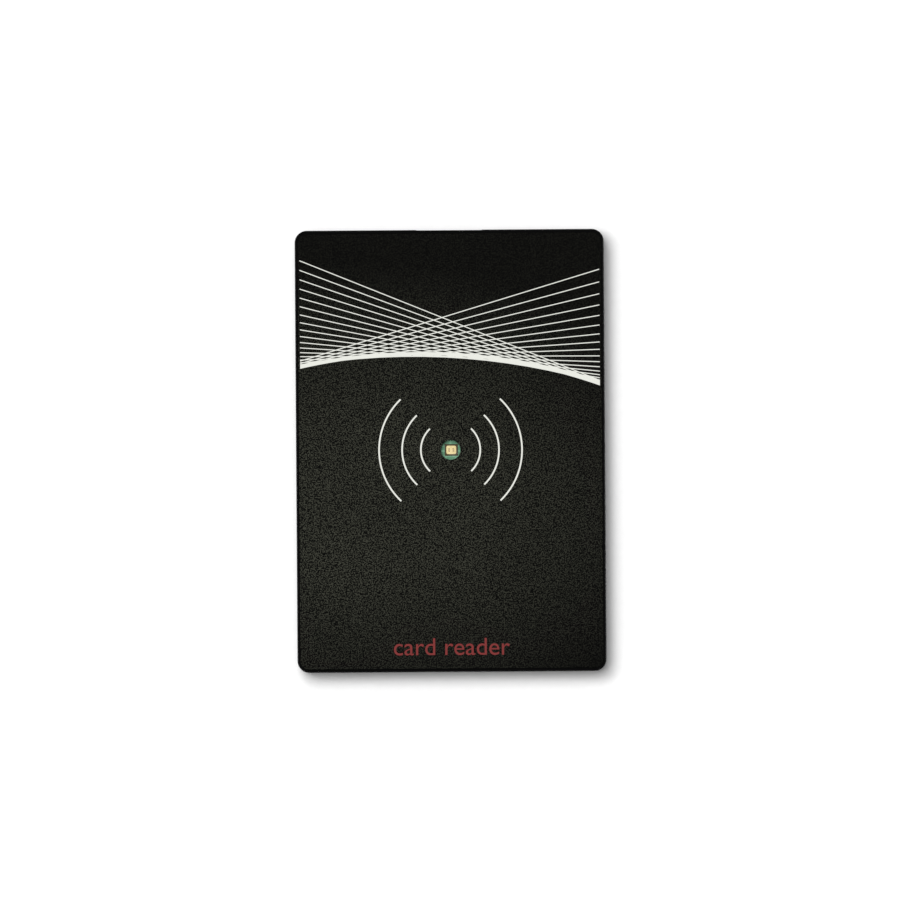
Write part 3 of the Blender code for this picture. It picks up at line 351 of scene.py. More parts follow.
def merged_copy(node):
    """A bmesh of a solid, with its loose triangles joined and its flat faces made whole."""
    mesh = bmesh.new()
    mesh.from_mesh(nodes[node].data)
    bmesh.ops.remove_doubles(mesh, verts=mesh.verts, dist=SOLID_GAP)
    flat = math.radians(0.2)
    bmesh.ops.dissolve_limit(mesh, angle_limit=flat, verts=mesh.verts, edges=mesh.edges)
    return mesh


# %% [markdown]
# ## Covers
# Both covers are black ABS from a mould whose walls were spark-eroded, which prints a fine matt
# texture on the plastic: the eye sees an even black with a broad, soft sheen. The real texture
# is under a tenth of a millimetre, so it is drawn about twice as coarse. It also traps the light
# that grazes a wall, so the specular level is low. The covers' solids already have their bosses,
# draft and openings, but their edges are knife-sharp, which no moulded part is. A merged copy of
# each gets its outer edges rounded by a tenth of a millimetre.

# %% Covers
black_abs = grained(
    "black_moulded_abs",
    "#020202",
    "#050505",
    grain=0.2 * MM,
    relief=0.01 * MM,
    rough=(0.6, 0.75),
    IOR=1.54,
    Specular_IOR_Level=0.02,
)
EDGE = 0.12 * MM
case_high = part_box("top_cover")[1]
base_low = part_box("bottom_cover")[0].z
OUTER_SKIN = 0.9 * MM


def on_outside(point):
    """True on the covers' outer skin, away from the walls and bosses inside."""
    by_side = abs(point.x) > case_high.x - OUTER_SKIN
    return by_side or abs(point.y) > case_high.y - OUTER_SKIN


def outside_or_below(point):
    """The lower cover is also seen from below, so its underside counts as outside."""
    return on_outside(point) or point.z < base_low + MM / 2


def below_rim(point):
    """The rim round the film keeps the edge that its solid has."""
    return on_outside(point) and point.z < case_high.z - MM / 2


for cover, chosen in (("top_cover", below_rim), ("bottom_cover", outside_or_below)):
    rounded = soften(merged_copy(cover), EDGE, chosen)
    keep(piece_from(cover + "_moulding", rounded), "case_abs", [black_abs], cover)

# %% [markdown]
# ## The printed film
# The face is a polycarbonate film, printed black from behind and embossed with a velvet grain so
# that it doesn't mirror a ceiling lamp. A plate with round corners makes it, a Boolean cuts the
# hole for the light, and its rim is rounded a little, as a die-cut edge is. The film ends just
# below the rim of the cover: the printed ink on top makes up the rest.

# %% Film
film_low, film_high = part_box("face_overlay")
film_size = film_high - film_low
window_low, window_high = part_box("led_window")
window_middle = ((window_low.x + window_high.x) / 2, (window_low.y + window_high.y) / 2)
INK = 0.02 * MM
FILM_RADIUS = 1.7 * MM
FILM_EDGE = 0.05 * MM
HOLE_RADIUS = 1.95 * MM
film_top = film_high.z - INK

film = plate(film_size, FILM_RADIUS, film_low.z, film_top)
hole_low, hole_high = film_low.z - MM, film_top + MM
hole = [(0, hole_low), (HOLE_RADIUS, hole_low), (HOLE_RADIUS, hole_high), (0, hole_high)]
film = boolean(film, turned(hole, window_middle), "DIFFERENCE")
film = soften(film, FILM_EDGE, lambda point: point.z > film_top - INK)

# %% [markdown]
# The grain is a random relief about a quarter of a millimetre wide. Under soft light it reads as a
# speckle of dark and lighter spots on a warm greenish black. A fine noise makes the speckle, and
# also raises the relief and varies the gloss. Its lighter spots are partly the grain's own tone
# and
# partly painted glints: light that the grain catches, painted into the colour. The face is palest
# round the light and darker towards its ends, which is a painted glow of reflected light. A
# spherical gradient, stretched by a Mapping node, holds that painted glow, and a broad noise keeps
# it from being too even.

# %% Film finish
GRAIN = 0.23 * MM
UNEVENNESS = 25 * MM
# Centre and reach of the painted glow: reflected light painted into the film's colour.
PAINTED_GLOW_PLACE = (-18.0 * MM, -9.0 * MM)
PAINTED_GLOW_REACH = (85.0 * MM, 58.0 * MM)

velvet_film, tree, shader, place = finish(
    "velvet_grained_film", IOR=1.58, Specular_IOR_Level=0.02
)
fine = add(tree, "TexNoise", Vector=place, Scale=1 / GRAIN, Detail=1.0)
broad = add(tree, "TexNoise", Vector=place, Scale=1 / UNEVENNESS, Detail=1.0)
speckle = add(tree, "MapRange", Value=fine, From_Min=0.47, From_Max=0.6)
# The lighter spots are partly painted glints: light caught by the grain, painted into the colour.
spots_and_painted_glints = add(
    tree, "Mix", COLOUR, Factor=speckle, A=linear("#010101"), B=linear("#36372F")
)
centred = add(
    tree,
    "Mapping",
    Vector=place,
    Location=(-PAINTED_GLOW_PLACE[0] / PAINTED_GLOW_REACH[0], -PAINTED_GLOW_PLACE[1] / PAINTED_GLOW_REACH[1], 0),
    Scale=(1 / PAINTED_GLOW_REACH[0], 1 / PAINTED_GLOW_REACH[1], 0),
)
ball = add(tree, "TexGradient", {"gradient_type": "SPHERICAL"}, Vector=centred)
nearness = next(socket for socket in ball.outputs if socket.name == "Fac")
painted_glow = add(tree, "MapRange", Value=nearness, From_Min=0.2, From_Max=0.75, To_Min=0.15)
drift = add(tree, "MapRange", Value=broad, From_Min=0.3, From_Max=0.7, To_Min=0.85)
shade = add(tree, "Math", {"operation": "MULTIPLY"})
tree.links.new(painted_glow.outputs[0], shade.inputs[0])
tree.links.new(drift.outputs[0], shade.inputs[1])
# The speckle's colour times the painted glow of reflected light.
print_times_painted_glow = add(
    tree, "Mix", COLOUR | {"blend_type": "MULTIPLY"}, Factor=1.0, A=spots_and_painted_glints, B=shade
)
gloss = add(tree, "MapRange", Value=fine, To_Min=0.75, To_Max=0.6)
bump = add(tree, "Bump", Height=fine, Distance=0.02 * MM, Strength=1.0)
connect(tree, shader, Base_Color=print_times_painted_glow, Roughness=gloss, Normal=bump)
keep(piece_from("printed_face_film", film), "face_film", [velvet_film], "face_overlay")

# %% [markdown]
# ## Screen-printed graphics
# The graphics are thick screen-printed ink. It is thin but solid, so each is a real layer, a
# fiftieth of a millimetre above the film. Three arcs on each side of the light make the wave
# symbol that every contactless reader carries. A small rectangle spun through little more than a
# right angle gives one arc, with square ends. The two sides of the symbol stand a little apart,
# the outer arcs more than the inner ones.

# %% White ink and wave symbol
white_ink = grained(
    "white_screen_ink",
    "#C0C1BA",
    "#C9CAC3",
    grain=0.3 * MM,
    relief=0.002 * MM,
    rough=(0.5, 0.6),
    IOR=1.5,
    Specular_IOR_Level=0.1,
)
STROKE = 0.32 * MM
ARC_ANGLE = math.radians(93)
ARC_RADII = (5.8 * MM, 9.5 * MM, 13.9 * MM)
ARC_SPREADS = (0.09 * MM, 0.11 * MM, 0.28 * MM)
ink_low = film_top - INK
ink_high = film_high.z


def wave_arc(radius, centre_x, facing):
    """About a quarter ring of ink round a centre, facing an angle from +X."""
    mesh = bmesh.new()
    corners = ((-1, ink_low), (1, ink_low), (1, ink_high), (-1, ink_high))
    section = [mesh.verts.new((radius + side * STROKE / 2, 0, z)) for side, z in corners]
    mesh.faces.new(section)
    first = Matrix.Rotation(math.radians(facing) - ARC_ANGLE / 2, 4, "Z")
    bmesh.ops.transform(mesh, matrix=first, verts=mesh.verts)
    bmesh.ops.spin(
        mesh,
        geom=mesh.verts[:] + mesh.edges[:] + mesh.faces[:],
        cent=(0, 0, 0),
        axis=(0, 0, 1),
        angle=ARC_ANGLE,
        steps=40,
    )
    bmesh.ops.recalc_face_normals(mesh, faces=mesh.faces)
    bmesh.ops.translate(mesh, vec=(centre_x, window_middle[1], 0), verts=mesh.verts)
    return mesh


arcs = []
for radius, spread in zip(ARC_RADII, ARC_SPREADS):
    arcs.append(wave_arc(radius, window_middle[0] + spread, facing=0))
    arcs.append(wave_arc(radius, window_middle[0] - spread, facing=180))
keep(piece_from("wave_symbol", gathered(arcs)), "face_film", [white_ink])

# %% [markdown]
# The band above it is string art, which needs only a rule: every line is straight and touches
# one large circle, and from line to line the angle grows in steps that are widest in the middle.
# Each line is a long thin box, moved out from the circle's centre and turned about it. A curved
# band closes the figure below. They all cross each other at one height, so one Boolean joins
# them into a single skin and trims it to the print area. The angles are in degrees, and follow
# a cubic rule from the first line to the last.

# %% Lines of the string art
LINE = 0.18 * MM
LINES = 23
FAN_MIDDLE = -4.0
FAN_REACH = 20.5
FAN_LEAN = 1.3
FAN_CURL = 1.1
WRAP_RADIUS = 130.0 * MM
WRAP_CENTRE = Vector((-8.0 * MM, 18.8 * MM - WRAP_RADIUS, 0))


def printed_line(angle):
    """A straight line of ink that touches the circle where its angle from +X says."""
    size = Matrix.Diagonal((3 * film_size.x, LINE, ink_high - ink_low, 1.0))
    out = Matrix.Translation((0, WRAP_RADIUS, (ink_low + ink_high) / 2))
    turned_out = Matrix.Rotation(math.radians(angle), 4, "Z") @ out @ size
    mesh = bmesh.new()
    bmesh.ops.create_cube(mesh, size=1.0, matrix=Matrix.Translation(WRAP_CENTRE) @ turned_out)
    return mesh


strings = []
for index in range(LINES):
    share = 2 * index / (LINES - 1) - 1
    angle = FAN_MIDDLE + FAN_REACH * share + FAN_LEAN * share**2 - FAN_CURL * share**3
    strings.append(printed_line(angle))
print(len(strings), "lines")

# %% Band of the string art
BAND_CROWN = (-6.4 * MM, 19.06 * MM)
BAND_THICKNESS = 0.6 * MM
BAND_RADII = (107 * MM, 116 * MM)
BAND_STEPS = 96
PRINT_MARGIN = 0.35 * MM
reach = film_size.x / 2


def curved_band(crown_x, lower_crown_y, thickness, lower_radius, upper_radius):
    """A band of ink between two arcs: each is a point spun about a centre far below."""
    mesh = bmesh.new()
    rims = []
    for crown_y, radius in (
        (lower_crown_y, lower_radius),
        (lower_crown_y + thickness, upper_radius),
    ):
        centre = Vector((crown_x, crown_y - radius, ink_low))
        half = math.asin((reach + abs(crown_x) + MM) / radius)
        start = Vector((math.sin(half), math.cos(half), 0)) * radius
        point = mesh.verts.new(centre + start)
        before = set(mesh.edges)
        bmesh.ops.spin(
            mesh, geom=[point], cent=centre, axis=(0, 0, 1), angle=2 * half, steps=BAND_STEPS
        )
        rims += [edge for edge in mesh.edges if edge not in before]
    bmesh.ops.bridge_loops(mesh, edges=rims)
    grown = bmesh.ops.extrude_face_region(mesh, geom=mesh.faces[:])["geom"]
    raised = [item for item in grown if isinstance(item, bmesh.types.BMVert)]
    bmesh.ops.translate(mesh, vec=(0, 0, ink_high - ink_low), verts=raised)
    bmesh.ops.recalc_face_normals(mesh, faces=mesh.faces)
    return mesh


strings.append(curved_band(*BAND_CROWN, BAND_THICKNESS, *BAND_RADII))
print_area = plate(
    (film_size.x - 2 * PRINT_MARGIN, film_size.y - 2 * PRINT_MARGIN),
    FILM_RADIUS,
    ink_low - MM,
    ink_high + MM,
)
string_art = boolean(gathered(strings), print_area, "INTERSECT", crossing=True)
keep(piece_from("string_art", string_art), "face_film", [white_ink])

# %% [markdown]
# Along the lower edge stand two plain words in red ink. A text object in Blender's own font
# makes them. It is turned into a mesh first, and then scaled and moved as one.

# %% Lettering
red_ink = grained(
    "red_screen_ink",
    "#5E1917",
    "#70211F",
    grain=0.36 * MM,
    relief=0.004 * MM,
    rough=(0.5, 0.6),
    IOR=1.5,
    Specular_IOR_Level=0.1,
)
WORDS_WIDTH = 23.0 * MM
WORDS_Y = -38.8 * MM
LETTER_GAP = 0.01 * MM

text = bpy.data.curves.new("words", "FONT")
text.body = "card reader"
text.extrude = (ink_high - ink_low) / 2
writing = bpy.data.objects.new("words", text)
scene.collection.objects.link(writing)
bpy.context.view_layer.update()
graph = bpy.context.evaluated_depsgraph_get()
text_mesh = bpy.data.meshes.new_from_object(writing.evaluated_get(graph))
words = bmesh.new()
words.from_mesh(text_mesh)
bmesh.ops.remove_doubles(words, verts=words.verts, dist=LETTER_GAP)
left = min(vert.co.x for vert in words.verts)
right = max(vert.co.x for vert in words.verts)
top = max(vert.co.y for vert in words.verts)
scale = WORDS_WIDTH / (right - left)
bmesh.ops.translate(words, vec=(-(left + right) / 2, -top / 2, 0), verts=words.verts)
bmesh.ops.scale(words, vec=(scale, scale, 1.0), verts=words.verts)
words_place = (window_middle[0], WORDS_Y, (ink_low + ink_high) / 2)
bmesh.ops.translate(words, vec=words_place, verts=words.verts)
bpy.data.objects.remove(writing)
keep(piece_from("plain_lettering", words), "face_film", [red_ink])

# %% [markdown]
# ## Window and status light
# A clear polycarbonate pip fills the hole in the film. It is turned in one piece with a flange
# that keeps it from falling out. A constant alpha lets the light of the room down to the board,
# and its own smooth face adds only a faint gloss.

# %% Window
clear_plastic = grained(
    "clear_polycarbonate",
    "#7F8C7B",
    "#8E9A89",
    grain=3.0 * MM,
    relief=0.0,
    rough=(0.08, 0.15),
    IOR=1.585,
    Alpha=0.02,
    Specular_IOR_Level=0.3,
)
PIP_RADIUS = 1.8 * MM
PIP_EDGE = 0.08 * MM
FLANGE_THICKNESS = 0.7 * MM
flange_radius = window_high.x - window_middle[0]
shoulder = window_low.z + FLANGE_THICKNESS
pip = turned(
    [
        (0, window_low.z),
        (flange_radius, window_low.z),
        (flange_radius, shoulder),
        (PIP_RADIUS, shoulder),
        (PIP_RADIUS, window_high.z),
        (0, window_high.z),
    ],
    window_middle,
)
pip = soften(pip, PIP_EDGE)
keep(piece_from("clear_window_pip", pip), "clear_window", [clear_plastic], "led_window")

# %% [markdown]
# The status light under it is a small surface-mounted package: a base of brown laminate, and a
# block of milky epoxy resin cast over two dies. The resin spreads the light, so it looks like
# wax. Each die shows through it as a darker upright mark, so two thin plates stand for what the
# eye sees. The block is trimmed by a hair, so a little more of the base shows as a dark border.
# That border is partly the base and partly painted shade: the base is coloured darker to stand
# for the shadow round the resin block.

# %% Status light
milky_resin = grained(
    "milky_resin",
    "#C2AE74",
    "#DCC993",
    grain=0.5 * MM,
    relief=0.002 * MM,
    rough=(0.45, 0.55),
    IOR=1.5,
    Specular_IOR_Level=0.1,
)
die_shade = grained(
    "dies_under_resin",
    "#98845A",
    "#AE9866",
    grain=0.2 * MM,
    relief=0.0,
    rough=(0.45, 0.55),
    IOR=1.5,
    Specular_IOR_Level=0.1,
)
# Darker than laminate is: the base colour also holds painted shade round the resin block.
laminate_and_painted_shade = grained(
    "laminate_and_painted_shade",
    "#2A2210",
    "#3C3018",
    grain=0.4 * MM,
    relief=0.002 * MM,
    rough=(0.55, 0.65),
    IOR=1.5,
    Specular_IOR_Level=0.1,
)


def dress(material, *names):
    """Gives its finish to each solid whose own shape is good enough to show."""
    for name in names:
        data = nodes[name].data
        data.materials.clear()
        data.materials.append(material)
    print(material.name, "on", ", ".join(names))


dress(laminate_and_painted_shade, "status_led_base")

# %% Resin block and dies
LENS_TRIM = 0.05 * MM
LENS_CORNER = 0.35 * MM
LENS_EDGE = 0.06 * MM
DIE_SIZE = (0.34 * MM, 0.8 * MM)
DIE_CORNER = 0.06 * MM
DIE_THICKNESS = 0.05 * MM
DIE_STEP = 0.01 * MM
DIE_PLACE = 0.42 * MM

lens_low, lens_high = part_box("status_led_lens")
lens_middle = (lens_low + lens_high) / 2
lens_size = lens_high - lens_low - 2 * Vector((LENS_TRIM, LENS_TRIM, 0))
block_top = lens_high.z - DIE_STEP
block = plate(lens_size, LENS_CORNER, lens_low.z, block_top, lens_middle, steps=6)
block = soften(block, LENS_EDGE, lambda point: point.z > lens_middle.z)
keep(piece_from("light_resin_block", block), "led_resin", [milky_resin], "status_led_lens")
dies = []
for side in (-1, 1):
    place = (lens_middle.x + side * DIE_PLACE, lens_middle.y)
    low = lens_high.z - DIE_THICKNESS
    dies.append(plate(DIE_SIZE, DIE_CORNER, low, lens_high.z, place, steps=3))
keep(piece_from("light_dies", gathered(dies)), "led_resin", [die_shade])

# %% [markdown]
# ## Underside
# Four rubber feet, four screws and a blank label. Rubber scatters nearly all the light that
# falls on it, so a foot shows its round edge and little else. Each foot is one turned profile
# whose lower edge runs through a quarter circle.

# %% Feet
black_rubber = grained(
    "black_rubber", "#141414", "#1E1E1D", 0.3 * MM, 0.02 * MM, (0.8, 0.95), IOR=1.52
)
FOOT_EDGE = 0.4 * MM
FOOT_DISH = 0.15 * MM
DISH_SHARE = 0.55
ROUND_STEPS = 6

for number in range(1, 5):
    node = f"rubber_foot_{number}"
    low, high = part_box(node)
    middle = (low + high) / 2
    radius = high.x - middle.x
    ring = radius * DISH_SHARE
    profile = [(0, low.z + FOOT_DISH), (ring, low.z + FOOT_DISH), (ring + FOOT_DISH, low.z)]
    for step in range(ROUND_STEPS + 1):
        angle = math.radians(90) * step / ROUND_STEPS
        across = radius - FOOT_EDGE * (1 - math.sin(angle))
        profile.append((across, low.z + FOOT_EDGE * (1 - math.cos(angle))))
    profile += [(radius, high.z), (0, high.z)]
    foot = turned(profile, middle)
    keep(piece_from(f"moulded_foot_{number}", foot), "foot_rubber", [black_rubber], node)

# %% [markdown]
# A screw is a pan head over a threaded shank, blackened zinc on steel. The head is a turned
# profile with a domed face, and a Boolean presses the cross into it: four wings that narrow
# towards the bottom. The thread is a small triangle spun many turns while it climbs by its pitch
# on each turn, laid round a plain core.

# %% Screws
black_zinc = grained(
    "black_zinc_steel", "#26272B", "#3A3B40", 0.25 * MM, 0.002 * MM, (0.3, 0.42), Metallic=1.0
)
HEAD_HEIGHT = 1.7 * MM
DOME_HEIGHT = HEAD_HEIGHT * 0.6
CORE_RADIUS = 0.95 * MM
TIP_RADIUS = CORE_RADIUS * 0.4
TIP_LENGTH = 0.5 * MM
THREAD_RADIUS = 1.25 * MM
THREAD_ROOT = CORE_RADIUS * 0.9
THREAD_PITCH = 1.12 * MM
THREAD_FOOT = THREAD_PITCH * 0.3
THREAD_STEPS = 24
CROSS_SPAN = 2.4 * MM
CROSS_WIDTH = 0.55 * MM
CROSS_DEPTH = 1.1 * MM
CROSS_TAPER = (0.35, 0.5, 1.0)


def cross_recess(middle, face):
    """The tool that presses the cross: two wedges that taper upwards into the head."""
    wedges = []
    for quarter_turn in (0, 90):
        wedge = plate((CROSS_SPAN, CROSS_WIDTH), 0, face - MM / 4, face + CROSS_DEPTH)
        deep = [vert for vert in wedge.verts if vert.co.z > face]
        bmesh.ops.scale(wedge, vec=CROSS_TAPER, verts=deep)
        turn = Matrix.Rotation(math.radians(quarter_turn), 4, "Z")
        bmesh.ops.transform(wedge, matrix=turn, verts=wedge.verts)
        bmesh.ops.translate(wedge, vec=(middle.x, middle.y, 0), verts=wedge.verts)
        wedges.append(wedge)
    return boolean(wedges[0], wedges[1], "UNION")


def screw_thread(middle, start, end):
    """A triangular ridge that climbs round the core."""
    mesh = bmesh.new()
    turns = int((end - start) / THREAD_PITCH) - 1
    points = [(THREAD_ROOT, -THREAD_FOOT), (THREAD_RADIUS, 0.0), (THREAD_ROOT, THREAD_FOOT)]
    mesh.faces.new([mesh.verts.new((radius, 0, z)) for radius, z in points])
    steps = THREAD_STEPS * turns
    bmesh.ops.spin(
        mesh,
        geom=mesh.verts[:] + mesh.edges[:] + mesh.faces[:],
        cent=(0, 0, 0),
        axis=(0, 0, 1),
        dvec=(0, 0, THREAD_PITCH * turns / steps),
        angle=math.tau * turns,
        steps=steps,
    )
    bmesh.ops.recalc_face_normals(mesh, faces=mesh.faces)
    bmesh.ops.translate(mesh, vec=(middle.x, middle.y, start + THREAD_FOOT), verts=mesh.verts)
    return mesh


for number in range(1, 5):
    node = f"case_screw_{number}"
    low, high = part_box(node)
    middle = (low + high) / 2
    radius = high.x - middle.x
    seat = low.z + HEAD_HEIGHT
    profile = [(0, low.z)]
    for step in range(1, ROUND_STEPS + 1):
        angle = math.radians(90) * step / ROUND_STEPS
        profile.append((radius * math.sin(angle), low.z + DOME_HEIGHT * (1 - math.cos(angle))))
    profile += [(radius, seat), (CORE_RADIUS, seat), (CORE_RADIUS, high.z - TIP_LENGTH)]
    profile += [(TIP_RADIUS, high.z), (0, high.z)]
    body = boolean(turned(profile, middle, 48), cross_recess(middle, low.z), "DIFFERENCE")
    thread = screw_thread(middle, seat + MM / 4, high.z)
    screw = piece_from(f"pan_head_screw_{number}", gathered([body, thread]))
    keep(screw, "black_screw_steel", [black_zinc], node)

# %% [markdown]
# The label is a blank white polyester sticker with a thin grey frame, where a real reader has
# its ratings. The frame is one more layer of ink: a plate with a smaller plate cut out.

# %% Label
label_film = grained(
    "white_polyester_label", "#DCDCD8", "#E6E6E2", 1.5 * MM, 0.002 * MM, (0.35, 0.5), IOR=1.57
)
grey_ink = grained(
    "grey_label_ink", "#6E6E6E", "#7A7A7A", 0.5 * MM, 0.0, (0.45, 0.55), IOR=1.5
)
label_low, label_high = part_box("rating_label")
label_size = label_high - label_low
LABEL_INK = 0.01 * MM
LABEL_RADIUS = 1.5 * MM
FRAME_INSET = 2.0 * MM
FRAME_LINE = 0.25 * MM

sticker = plate(label_size, LABEL_RADIUS, label_low.z + LABEL_INK, label_high.z)
keep(piece_from("blank_sticker", sticker), "blank_label", [label_film], "rating_label")
outlines = []
for inset in (FRAME_INSET, FRAME_INSET + FRAME_LINE):
    size = (label_size.x - 2 * inset, label_size.y - 2 * inset)
    over = MM * (inset > FRAME_INSET)
    outlines.append(
        plate(size, LABEL_RADIUS / 2, label_low.z - over, label_low.z + 2 * LABEL_INK + over)
    )
label_frame = boolean(*outlines, "DIFFERENCE")
keep(piece_from("label_frame", label_frame), "blank_label", [grey_ink])

# %% [markdown]
# ## USB socket
# The socket is folded from tinned steel strip and shows its bright rim in the opening of the
# covers, round a black nylon tongue with five springs of gold-plated bronze. Their solids have
# the right shape, so a copy with softened edges is enough to catch the light.

# %% Socket
SHELL_EDGE = 0.06 * MM
TONGUE_EDGE = 0.05 * MM
SPRING_EDGE = 0.03 * MM

tinned_steel = grained(
    "tinned_steel_strip", "#B4B4AE", "#CFCFC9", 0.6 * MM, 0.002 * MM, (0.25, 0.4), Metallic=1.0
)
black_nylon = grained(
    "black_nylon", "#101010", "#191919", 0.2 * MM, 0.006 * MM, (0.4, 0.55), IOR=1.53
)
gold_plate = grained(
    "gold_plated_bronze", "#C99A45", "#E0B765", 0.3 * MM, 0.001 * MM, (0.2, 0.3), Metallic=1.0
)
socket_shell = soften(merged_copy("usb_socket_shell"), SHELL_EDGE)
shell_piece = piece_from("folded_socket_shell", socket_shell)
keep(shell_piece, "tinned_shell", [tinned_steel], "usb_socket_shell")
tongue = soften(merged_copy("usb_socket_insulator"), TONGUE_EDGE)
tongue_piece = piece_from("socket_tongue", tongue)
keep(tongue_piece, "socket_nylon", [black_nylon], "usb_socket_insulator")
for number in range(1, 6):
    node = f"usb_contact_{number}"
    spring = soften(merged_copy(node), SPRING_EDGE)
    keep(piece_from(f"socket_spring_{number}", spring), "gold_contact", [gold_plate], node)

# %% [markdown]
# ## Circuit board and antennas
# Inside the covers lies a glass-epoxy board under green solder mask. The mask is a thin satin
# coat over copper tracks, which show through it as slightly paler lines with a raised edge. A
# brick pattern with its joints drawn thin stands for the tracks.

# %% Board
TRACK = 0.25 * MM
TRACK_CELL = 4.0 * MM
MASK_CLOUD = 1.2 * MM

solder_mask, tree, shader, place = finish(
    "green_solder_mask", IOR=1.55, Specular_IOR_Level=0.1
)
tracks = add(
    tree,
    "TexBrick",
    {"offset": 0.5},
    Vector=place,
    Scale=1 / TRACK_CELL,
    Mortar_Size=TRACK / TRACK_CELL,
    Mortar_Smooth=0.2,
)
is_track = next(socket for socket in tracks.outputs if socket.name == "Fac")
coat = add(tree, "TexNoise", Vector=place, Scale=1 / MASK_CLOUD, Detail=2.0)
greens = add(tree, "Mix", COLOUR, Factor=coat, A=linear("#35684A"), B=linear("#4B7D60"))
masked = add(tree, "Mix", COLOUR, Factor=is_track, A=greens, B=linear("#5C8C6E"))
gloss = add(tree, "MapRange", Value=coat, To_Min=0.42, To_Max=0.55)
bump = add(tree, "Bump", Height=is_track, Distance=0.03 * MM, Strength=1.0)
connect(tree, shader, Base_Color=masked, Roughness=gloss, Normal=bump)
dress(solder_mask, "main_board")

# %% [markdown]
# The low-frequency antenna is a bundle of enamelled copper wire, wound on a former and bonded.
# Wire lies beside wire all round the ring, so a wave pattern in height draws the strands and
# raises them. The two leads are the same wire. The high-frequency antenna is bare etched copper,
# with the fine cloudiness that copper gets in air.

# %% Antennas
STRAND = 0.2 * MM

enamelled_wire, tree, shader, place = finish(
    "enamelled_copper_wire", Metallic=0.8, Coat_Weight=0.3, Coat_Roughness=0.15
)
strands = add(
    tree,
    "TexWave",
    {"wave_type": "BANDS", "bands_direction": "Z", "wave_profile": "SIN"},
    Vector=place,
    Scale=math.pi / (10 * STRAND),
    Distortion=0.6,
    Detail=1.0,
)
ridge = next(socket for socket in strands.outputs if socket.name == "Fac")
wires = add(tree, "Mix", COLOUR, Factor=ridge, A=linear("#6A2C16"), B=linear("#A85A34"))
gloss = add(tree, "MapRange", Value=ridge, To_Min=0.45, To_Max=0.28)
bump = add(tree, "Bump", Height=ridge, Distance=0.08 * MM, Strength=1.0)
connect(tree, shader, Base_Color=wires, Roughness=gloss, Normal=bump)
dress(enamelled_wire, "lf_antenna_coil", "coil_lead_1", "coil_lead_2")

etched_copper = grained(
    "etched_copper", "#A8653F", "#C98A62", 0.8 * MM, 0.003 * MM, (0.28, 0.42), Metallic=1.0
)
dress(etched_copper, "hf_antenna_loop")

# %% [markdown]
# ## Packages under the board
# Most of the small parts have two finishes: a moulded or fired body, and bright tinned metal on
# its leads or its ends. Their solids have both in one skin, so a merged copy keeps the shape, and
# each of its faces picks its finish by where it lies.

# %% Two finishes on one skin
tinned_metal = grained(
    "tinned_leads", "#B9B9B4", "#D2D2CD", 0.3 * MM, 0.002 * MM, (0.25, 0.4), Metallic=1.0
)
MARGIN = 0.01 * MM


def two_finishes(node, name, slot, finishes, second):
    """A copy of a solid whose faces take the second finish where a test says so."""
    mesh = merged_copy(node)
    low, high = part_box(node)
    for face in mesh.faces:
        middle = face.calc_center_median() - (low + high) / 2
        face.material_index = int(second(middle, (high - low) / 2, face.normal))
    return keep(piece_from(name, mesh), slot, finishes, node)


def past(edge):
    """A test that is true within a distance of the piece's ends in X or Y, its leads or caps."""

    def near_end(middle, half, normal):
        return any(
            abs(middle[axis]) > half[axis] - edge[axis] - MARGIN for axis in (0, 1) if edge[axis]
        )

    return near_end


def below(depth):
    """A test that is true further down from the piece's top than a depth."""

    def deeper(middle, half, normal):
        return middle.z < half.z - depth - MARGIN

    return deeper


# %% [markdown]
# Chips are moulded from black epoxy filled with ground quartz, which gives a dry, slightly
# sparkling matt face. Their leads are stamped copper alloy with a tin coat.

# %% Chips
black_resin = grained(
    "black_moulding_resin", "#141416", "#202022", 0.15 * MM, 0.008 * MM, (0.6, 0.75), IOR=1.55
)
QUAD_LEAD = 1.05 * MM
DIODE_LEAD = 0.65 * MM
REGULATOR_LEAD = 1.5 * MM
CHIP_EDGE = 0.03 * MM

for node, edge in (
    ("microcontroller", (QUAD_LEAD, QUAD_LEAD)),
    ("lf_reader_chip", (QUAD_LEAD, 0)),
    ("esd_diode_array", (0, DIODE_LEAD)),
    ("voltage_regulator", (REGULATOR_LEAD, 0)),
):
    name = node + "_package"
    two_finishes(node, name, "chip_resin", [black_resin, tinned_metal], past(edge))
flat_chip = soften(merged_copy("hf_reader_chip"), CHIP_EDGE)
flat_chip = piece_from("hf_reader_chip_package", flat_chip)
keep(flat_chip, "chip_resin", [black_resin], "hf_reader_chip")

# %% [markdown]
# Tantalum capacitors are moulded in yellow epoxy. Chip capacitors are blocks of fired tan
# ceramic, and chip resistors carry a black glass glaze. All three have a tinned cap on each end.

# %% Capped parts
tantalum_resin = grained(
    "yellow_tantalum_resin", "#C08A1C", "#D39C2C", 0.4 * MM, 0.004 * MM, (0.35, 0.5), IOR=1.55
)
fired_ceramic = grained(
    "tan_fired_ceramic", "#8A6A48", "#9C7B56", 0.2 * MM, 0.006 * MM, (0.5, 0.65), IOR=1.6
)
glass_glaze = grained(
    "black_glass_glaze", "#17171A", "#222226", 0.5 * MM, 0.002 * MM, (0.2, 0.3), IOR=1.52
)
CAPPED = (
    ("tantalum_capacitor", 2, "tantalum_resin", tantalum_resin, 0.5 * MM),
    ("chip_capacitor", 6, "capacitor_ceramic", fired_ceramic, 0.4 * MM),
    ("chip_resistor", 4, "resistor_glaze", glass_glaze, 0.35 * MM),
)

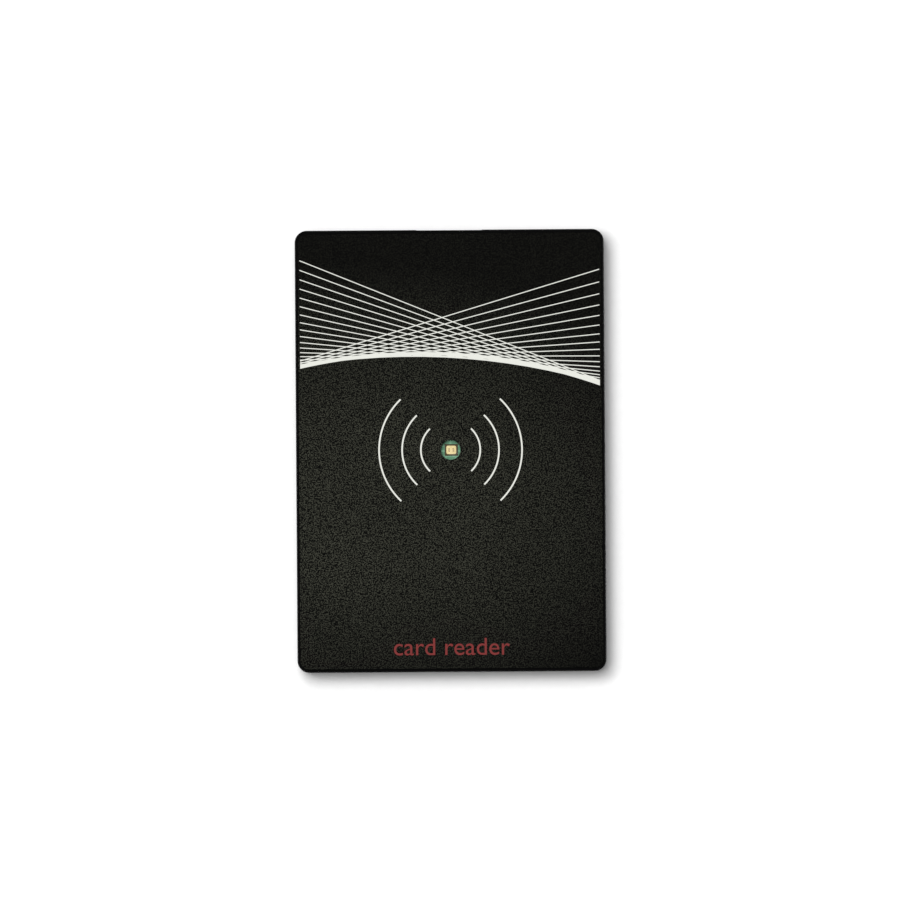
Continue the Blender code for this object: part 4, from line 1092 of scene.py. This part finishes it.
for kind, count, slot, body, cap in CAPPED:
    for number in range(1, count + 1):
        node = f"{kind}_{number}"
        low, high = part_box(node)
        lies_along_x = high.x - low.x > high.y - low.y
        edge = (cap, 0) if lies_along_x else (0, cap)
        two_finishes(node, node + "_block", slot, [body, tinned_metal], past(edge))

# %% [markdown]
# The can of a crystal is drawn from nickel-plated steel and stands on a black plastic base. The
# flat crystal is a fired ceramic box with a welded metal lid. An inductor is dark ferrite, and
# its waist is wound with enamelled wire. The sounder is a black thermoplastic drum.

# %% Crystals, inductors and sounder
drawn_steel = grained(
    "drawn_nickel_steel", "#A9A9A4", "#C4C4BF", 0.7 * MM, 0.002 * MM, (0.22, 0.34), Metallic=1.0
)
dark_ferrite = grained(
    "dark_ferrite", "#2C2220", "#3D302B", 0.2 * MM, 0.01 * MM, (0.5, 0.65), IOR=1.6
)
sounder_plastic = grained(
    "black_sounder_plastic", "#121212", "#1B1B1B", 0.25 * MM, 0.008 * MM, (0.45, 0.6), IOR=1.54
)
CAN_BASE_HEIGHT = 0.8 * MM
FLAT_BODY_HEIGHT = 0.5 * MM
DRUM_WAIST = 1.1 * MM
SOUNDER_EDGE = 0.05 * MM


def on_waist(middle, half, normal):
    """True on the upright faces of a drum that are nearest to its axis."""
    return abs(normal.z) < 0.5 and middle.to_2d().length < DRUM_WAIST


can_finishes = [black_resin, drawn_steel]
can_test = below(CAN_BASE_HEIGHT)
two_finishes(
    "microcontroller_crystal", "canned_crystal", "crystal_can", can_finishes, can_test
)
flat_finishes = [fired_ceramic, drawn_steel]
flat_test = below(FLAT_BODY_HEIGHT)
two_finishes("hf_crystal", "flat_crystal", "crystal_can", flat_finishes, flat_test)
drum_finishes = [dark_ferrite, enamelled_wire]
for number in (1, 2):
    node = f"filter_inductor_{number}"
    two_finishes(node, f"wound_drum_{number}", "ferrite", drum_finishes, on_waist)
sounder = piece_from("sounder_drum", soften(merged_copy("buzzer"), SOUNDER_EDGE))
keep(sounder, "sounder_plastic", [sounder_plastic], "buzzer")
